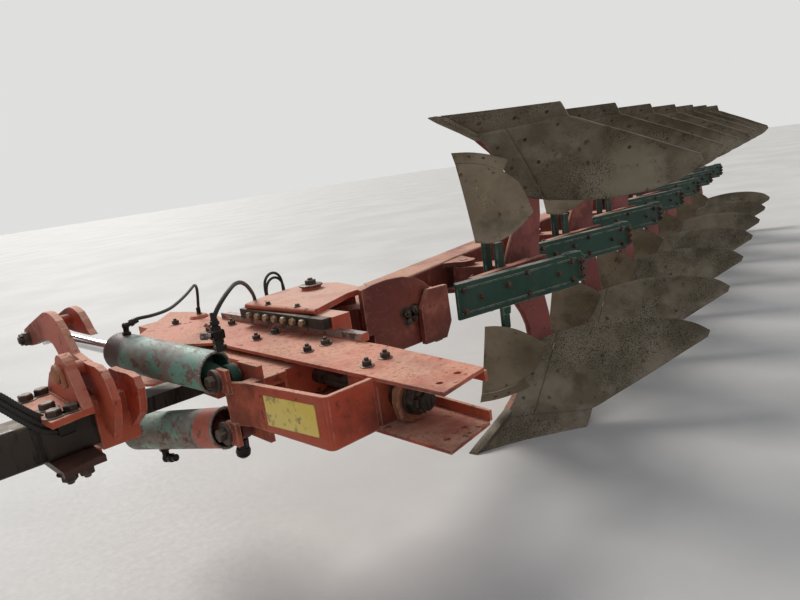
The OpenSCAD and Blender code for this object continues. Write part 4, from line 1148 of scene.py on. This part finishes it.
shaftSettings = {
    "place": 1150, "lugFrom": 868.0, "lugTo": 898.0, "nutSize": (84.0, 44),
    "lug": [(-74, 6), (-62, 44), (-34, 64), (30, 64), (62, 40), (70, 0), (58, -52), (24, -76), (-30, -76),
            (-60, -50)],
    "washer": [(0, 52), (7, 52), (9, 49)],
}


def makeShaftEnd(s):
    x, y = s["place"], s["lugTo"]
    outline = np.array(s["lug"]) + [x, middle]
    lug = slab(outline, 0, y - s["lugFrom"], 5, (0, y, 0), ((1, 0, 0), (0, 0, 1), (0, -1, 0)))
    addPiece("shaftLug", lug, "cross", rustyPaint)
    nut = joined([turned(s["washer"], (x, y, middle), (0, 1, 0), 32),
                  castleNut((x, y + 8, middle), (0, 1, 0), *s["nutSize"])])
    addPiece("shaftNut", nut, "cross", boltSteel)


makeShaftEnd(shaftSettings)
print("shaft end dressed")

# legs: rounded front edge; clamp pins in front of the skimmer stems; ends of the leaf springs

legSettings = {
    "front": [(-468, 900), (-486, 815), (-528, 735), (-583, 655), (-620, 575), (-632, 500), (-648, 424)],
    "noseRadius": 18.5, "pinX": -241.0, "pinHeights": (-36.0, 36.0), "pinFrom": -46.0, "pinTo": 96.0,
    "pinSize": 26, "blockSides": (-18, 62),
    # through bolts of the spring pack's end block
    "springHeights": (-40, 0, 40), "springFace": (-876, 18), "springEnd": (-905, -20),
    # folded hook under the housing's front and a saddle over its rear end: outline, near and far side
    "saddles": [([(-905, 60), (-880, 96), (-800, 100), (-770, 92), (-770, 78), (-905, 40)], -30, 20),
                ([(-330, -88), (-270, -88), (-276, -128), (-300, -134), (-324, -128)], 6, 26)],
}


def makeLegs(s):
    half = np.array([(x, 0, z) for x, z in s["front"]], float)
    whole = np.vstack([flipped((half, None))[0][:0:-1], half])
    nose = swept(smoothPath(whole, 44), s["noseRadius"], 14)
    bolts = []
    for height in s["pinHeights"]:
        x, z = s["pinX"], middle + height
        start, end = (x, s["pinFrom"], z), (x, s["pinTo"], z)
        bolts.append(turned([(0, 9), (s["pinTo"] - s["pinFrom"], 9)], start, (0, 1, 0), 14))
        bolts.append(hexBolt(start, (0, -1, 0), s["pinSize"], 16, stud=6))
        bolts.append(hexBolt(end, (0, 1, 0), s["pinSize"], 14, stud=9))
        for y in s["blockSides"]:
            bolts.append(box((x - 12, y, z - 16), (x + 14, y + 18, z + 16), 3))
    corner, along, out = tripAxes(tripSettings)
    for z in s["springHeights"]:
        for (run, side), way, sizes, stud in ((s["springFace"], out, (30, 16), 10),
                                              (s["springEnd"], -along, (26, 14), 8)):
            bolts.append(hexBolt(corner + run * along + side * out + [0, 0, z], way, *sizes, stud=stud))
    bolts = joined(bolts)
    saddle = joined([slab(outline, near, far, 3, corner, (along, (0, 0, 1), out))
                     for outline, near, far in s["saddles"]])
    for k, step in enumerate(bodySteps):
        body = f"body_{k + 1}"
        # the front edges take the legs' red darkened as painted shade
        addPiece(f"legEdges_{k + 1}", moved(nose, step), body, shadedLegPaint, 60)
        addPiece(f"stemPins_{k + 1}", moved(bolts, step), body, boltSteel)
        addPiece(f"tripSaddles_{k + 1}", moved(saddle, step), body, greenPaint)


makeLegs(legSettings)
print("legs dressed")

# rear wheel

wheelSettings = {
    "profile": [(226, -117), (250, -136), (286, -148), (330, -150), (372, -148), (404, -138), (422, -122),
                (431, -96), (435, -50), (436, 0)],
    "inner": [(214, 112), (214, -112)], "segments": 60, "lugs": 22, "lugFoot": 0.036, "lugCrown": 0.026,
    # sections of a lug: place across the tread, radius of its foot and crown, lean backwards
    "lugSections": [(6, 426, 449, 0.0), (76, 424, 448, 0.085), (128, 398, 423, 0.15), (149, 366, 388, 0.16)],
    "nuts": 8, "nutCircle": 140.0, "nutSize": (27, 17), "lipRadius": 226, "lipSide": 118,
    "cap": [(0, 62), (16, 60), (30, 50), (36, 30), (37, 8)], "capSide": 88,
}


def lugShape(s, centre, base, side):
    # four-cornered sections from near the middle line out to the shoulder
    rings = []
    for w, foot, crown, lean in s["lugSections"]:
        ring = [(foot, -s["lugFoot"]), (crown, -s["lugCrown"]), (crown, s["lugCrown"]), (foot, s["lugFoot"])]
        rings.append([(r * math.cos(base + lean + t), side * w, r * math.sin(base + lean + t))
                      for r, t in ring])
    return gridShape(np.array(rings) + centre, True, True)


def makeWheel(s):
    low, high = (np.array(p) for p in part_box("wheel_tyre"))
    centre = ((low + high) / 2 - tip) * 1000
    half = np.array(s["profile"], float)
    profile = np.vstack([half, half[-2::-1] * [1, -1], s["inner"]])
    angle = np.linspace(0, 2 * np.pi, s["segments"] + 1)[:, None]
    p = np.stack([profile[:, 0] * np.cos(angle), profile[:, 1] + 0 * angle,
                  profile[:, 0] * np.sin(angle)], -1)
    shapes = [gridShape(p + centre, True)]
    for q in range(s["lugs"]):
        shapes += [lugShape(s, centre, 2 * math.pi * (q + shift) / s["lugs"], side)
                   for side, shift in ((1, 0), (-1, 0.5))]
    piece = addPiece("wheelTyre", joined(shapes), "wheel", tyreRubber, 40)
    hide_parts("wheel_tyre")
    nuts = []
    for q in range(s["nuts"]):
        t = 2 * math.pi * q / s["nuts"]
        spot = centre + s["nutCircle"] * np.array([math.cos(t), 0, math.sin(t)])
        nuts += [hexBolt(spot + [0, side * 10, 0], (0, side, 0), *s["nutSize"], stud=7) for side in (1, -1)]
    nuts.append(turned(s["cap"], centre + [0, s["capSide"], 0], (0, 1, 0), 28))
    addPiece("wheelNuts", joined(nuts), "wheel", boltSteel)
    lips = []
    for side in (1, -1):
        circle = [centre + [s["lipRadius"] * math.cos(t), side * s["lipSide"], s["lipRadius"] * math.sin(t)]
                  for t in np.linspace(0, 2 * math.pi, s["segments"] + 1)]
        lips.append(swept(circle, 6, 8))
    addPiece("rimLips", joined(lips), "wheel", redPaint, 50)


makeWheel(wheelSettings)
print("rear wheel dressed")

# headstock: collars and keepers of the link pins, top link pin, bolts of the bearing and the swivel

stockSettings = {
    "bearing": 2875.0, "swivel": 3345.0, "side": 20.0,
    # from the swivel's centre, mirrored to its other side: collar, keeper ring, keeper pin and its pull ring
    "linkFoot": (225, 432, -196), "collar": [(-2, 44), (10, 44), (12, 40)],
    "keeper": [(118, 24), (119, 27), (127, 27), (129, 24)], "keeperPin": [(-34, 5), (34, 5)],
    "pullRing": (225, 538, -184), "pullRadius": 24,
    # rows of turned parts, as for the fittings
    "topPin": [([(0, 15.5), (150, 15.5)], (245, -75, 300), (0, 1, 0), 20),
               ([(0, 24), (9, 24), (11, 21)], (245, 66, 300), (0, 1, 0), 20)],
    "handle": [(245, 76, 300), (245, 100, 300), (247, 116, 288), (250, 118, 262), (252, 118, 236)],
    "standPin": [([(0, 9), (170, 9)], (360, -85, -150), (0, 1, 0), 14),
                 ([(0, 18), (8, 18), (9, 16)], (360, -85, -150), (0, -1, 0), 20)],
    "caps": [([(0, 52), (8, 52), (12, 46), (14, 20)], (0, 0, side * 184), (0, 0, side), 28)
             for side in (1, -1)],
    "bearingBolts": 12, "bearingCircle": 122, "bearingBack": 45,
    "swivelBolts": [(75, -130), (75, 130), (205, -130), (205, 130)], "swivelSide": 125,
}


def makeHeadstock(s):
    y, z = s["side"], middle
    centre = np.array([s["swivel"], y, z])
    pins = []
    for side in (1, -1):
        foot = centre + np.array(s["linkFoot"]) * [1, side, 1]
        pins.append(turned(s["collar"], foot, (0, side, 0), 28))
        pins.append(turned(s["keeper"], foot, (0, side, 0), 24))
        pins.append(turned(s["keeperPin"], foot + [0, side * 106, 0], (0, 0, 1), 10))
        hub = centre + np.array(s["pullRing"]) * [1, side, 1]
        pins.append(swept([hub + [s["pullRadius"] * math.cos(t), 0, s["pullRadius"] * math.sin(t)]
                           for t in np.linspace(0, 2 * math.pi, 25)], 3, 6))
    pins += turnedParts(s["topPin"], centre)
    pins.append(swept(smoothPath(np.array(s["handle"]) + centre, 24), 6, 10))
    pins += turnedParts(s["standPin"] + s["caps"], centre)
    addPiece("linkPins", joined(pins), "headstock", boltSteel)
    r = s["bearingCircle"]
    back = s["bearing"] - s["bearingBack"]
    bolts = [hexBolt((back, y + r * math.cos(t), z + r * math.sin(t)), (-1, 0, 0), 28, 18, turn=t)
             for t in np.linspace(0, 2 * math.pi, s["bearingBolts"], endpoint=False)]
    addPiece("bearingBolts", joined(bolts), "tube", boltSteel)
    sides = [hexBolt((s["bearing"] + px, y + side * s["swivelSide"], z + pz), (0, side, 0), 30, 18)
             for px, pz in s["swivelBolts"] for side in (1, -1)]
    addPiece("swivelBolts", joined(sides), "swivel", boltSteel)


makeHeadstock(stockSettings)
print("headstock dressed")

# floor and light

stageSettings = {
    "floorSize": 160.0, "floorColour": (0.58, 0.565, 0.535), "floorWorn": (0.515, 0.50, 0.472),
    "worldLight": (0.86, 0.91, 1.0), "worldStrength": 0.52, "backdrop": (0.74, 0.74, 0.73),
    "sunFrom": (-3.0, -10.7, 9.5), "sunStrength": 2.7, "sunAngle": 24.0, "sunColour": (1.0, 0.97, 0.93),
}


def makeStage(s):
    half = s["floorSize"] / 2
    mesh = bpy.data.meshes.new("floor")
    corners = [(-half, -half, 0), (half, -half, 0), (half, half, 0), (-half, half, 0)]
    mesh.from_pydata(corners, [], [(0, 1, 2, 3)])
    floor = bpy.data.objects.new("floor", mesh)
    bpy.context.scene.collection.objects.link(floor)
    mesh.materials.append(layeredMaterial("floorConcrete", {
        "colour": s["floorColour"], "faded": s["floorWorn"], "roughness": 0.6, "metal": 0.0, "fadeScale": 0.5,
        "grain": 30, "bump": 0.12}))
    world = bpy.data.worlds.new("studio")
    bpy.context.scene.world = world
    world.use_nodes = True
    tree = world.node_tree
    path = addNode(tree, "ShaderNodeLightPath")
    seen = maths(tree, "MAXIMUM", path.outputs["Is Camera Ray"], path.outputs["Is Glossy Ray"])
    light = tree.nodes["Background"]
    feed(tree, light, {"Color": colour(s["worldLight"]), "Strength": s["worldStrength"]})
    back = addNode(tree, "ShaderNodeBackground", {"Color": colour(s["backdrop"]), "Strength": 1.0})
    mix = addNode(tree, "ShaderNodeMixShader", {0: seen, 1: light.outputs[0], 2: back.outputs[0]})
    tree.links.new(mix.outputs[0], tree.nodes["World Output"].inputs["Surface"])
    data = bpy.data.lights.new("sun", "SUN")
    data.energy = s["sunStrength"]
    data.angle = math.radians(s["sunAngle"])
    data.color = s["sunColour"]
    lamp = bpy.data.objects.new("sun", data)
    start = Vector(s["sunFrom"])
    lamp.matrix_world = Matrix.Translation(start) @ (-start).to_track_quat("-Z", "Y").to_matrix().to_4x4()
    bpy.context.scene.collection.objects.link(lamp)


makeStage(stageSettings)
scene = bpy.context.scene
scene.view_settings.view_transform = "Standard"
print("stage set")
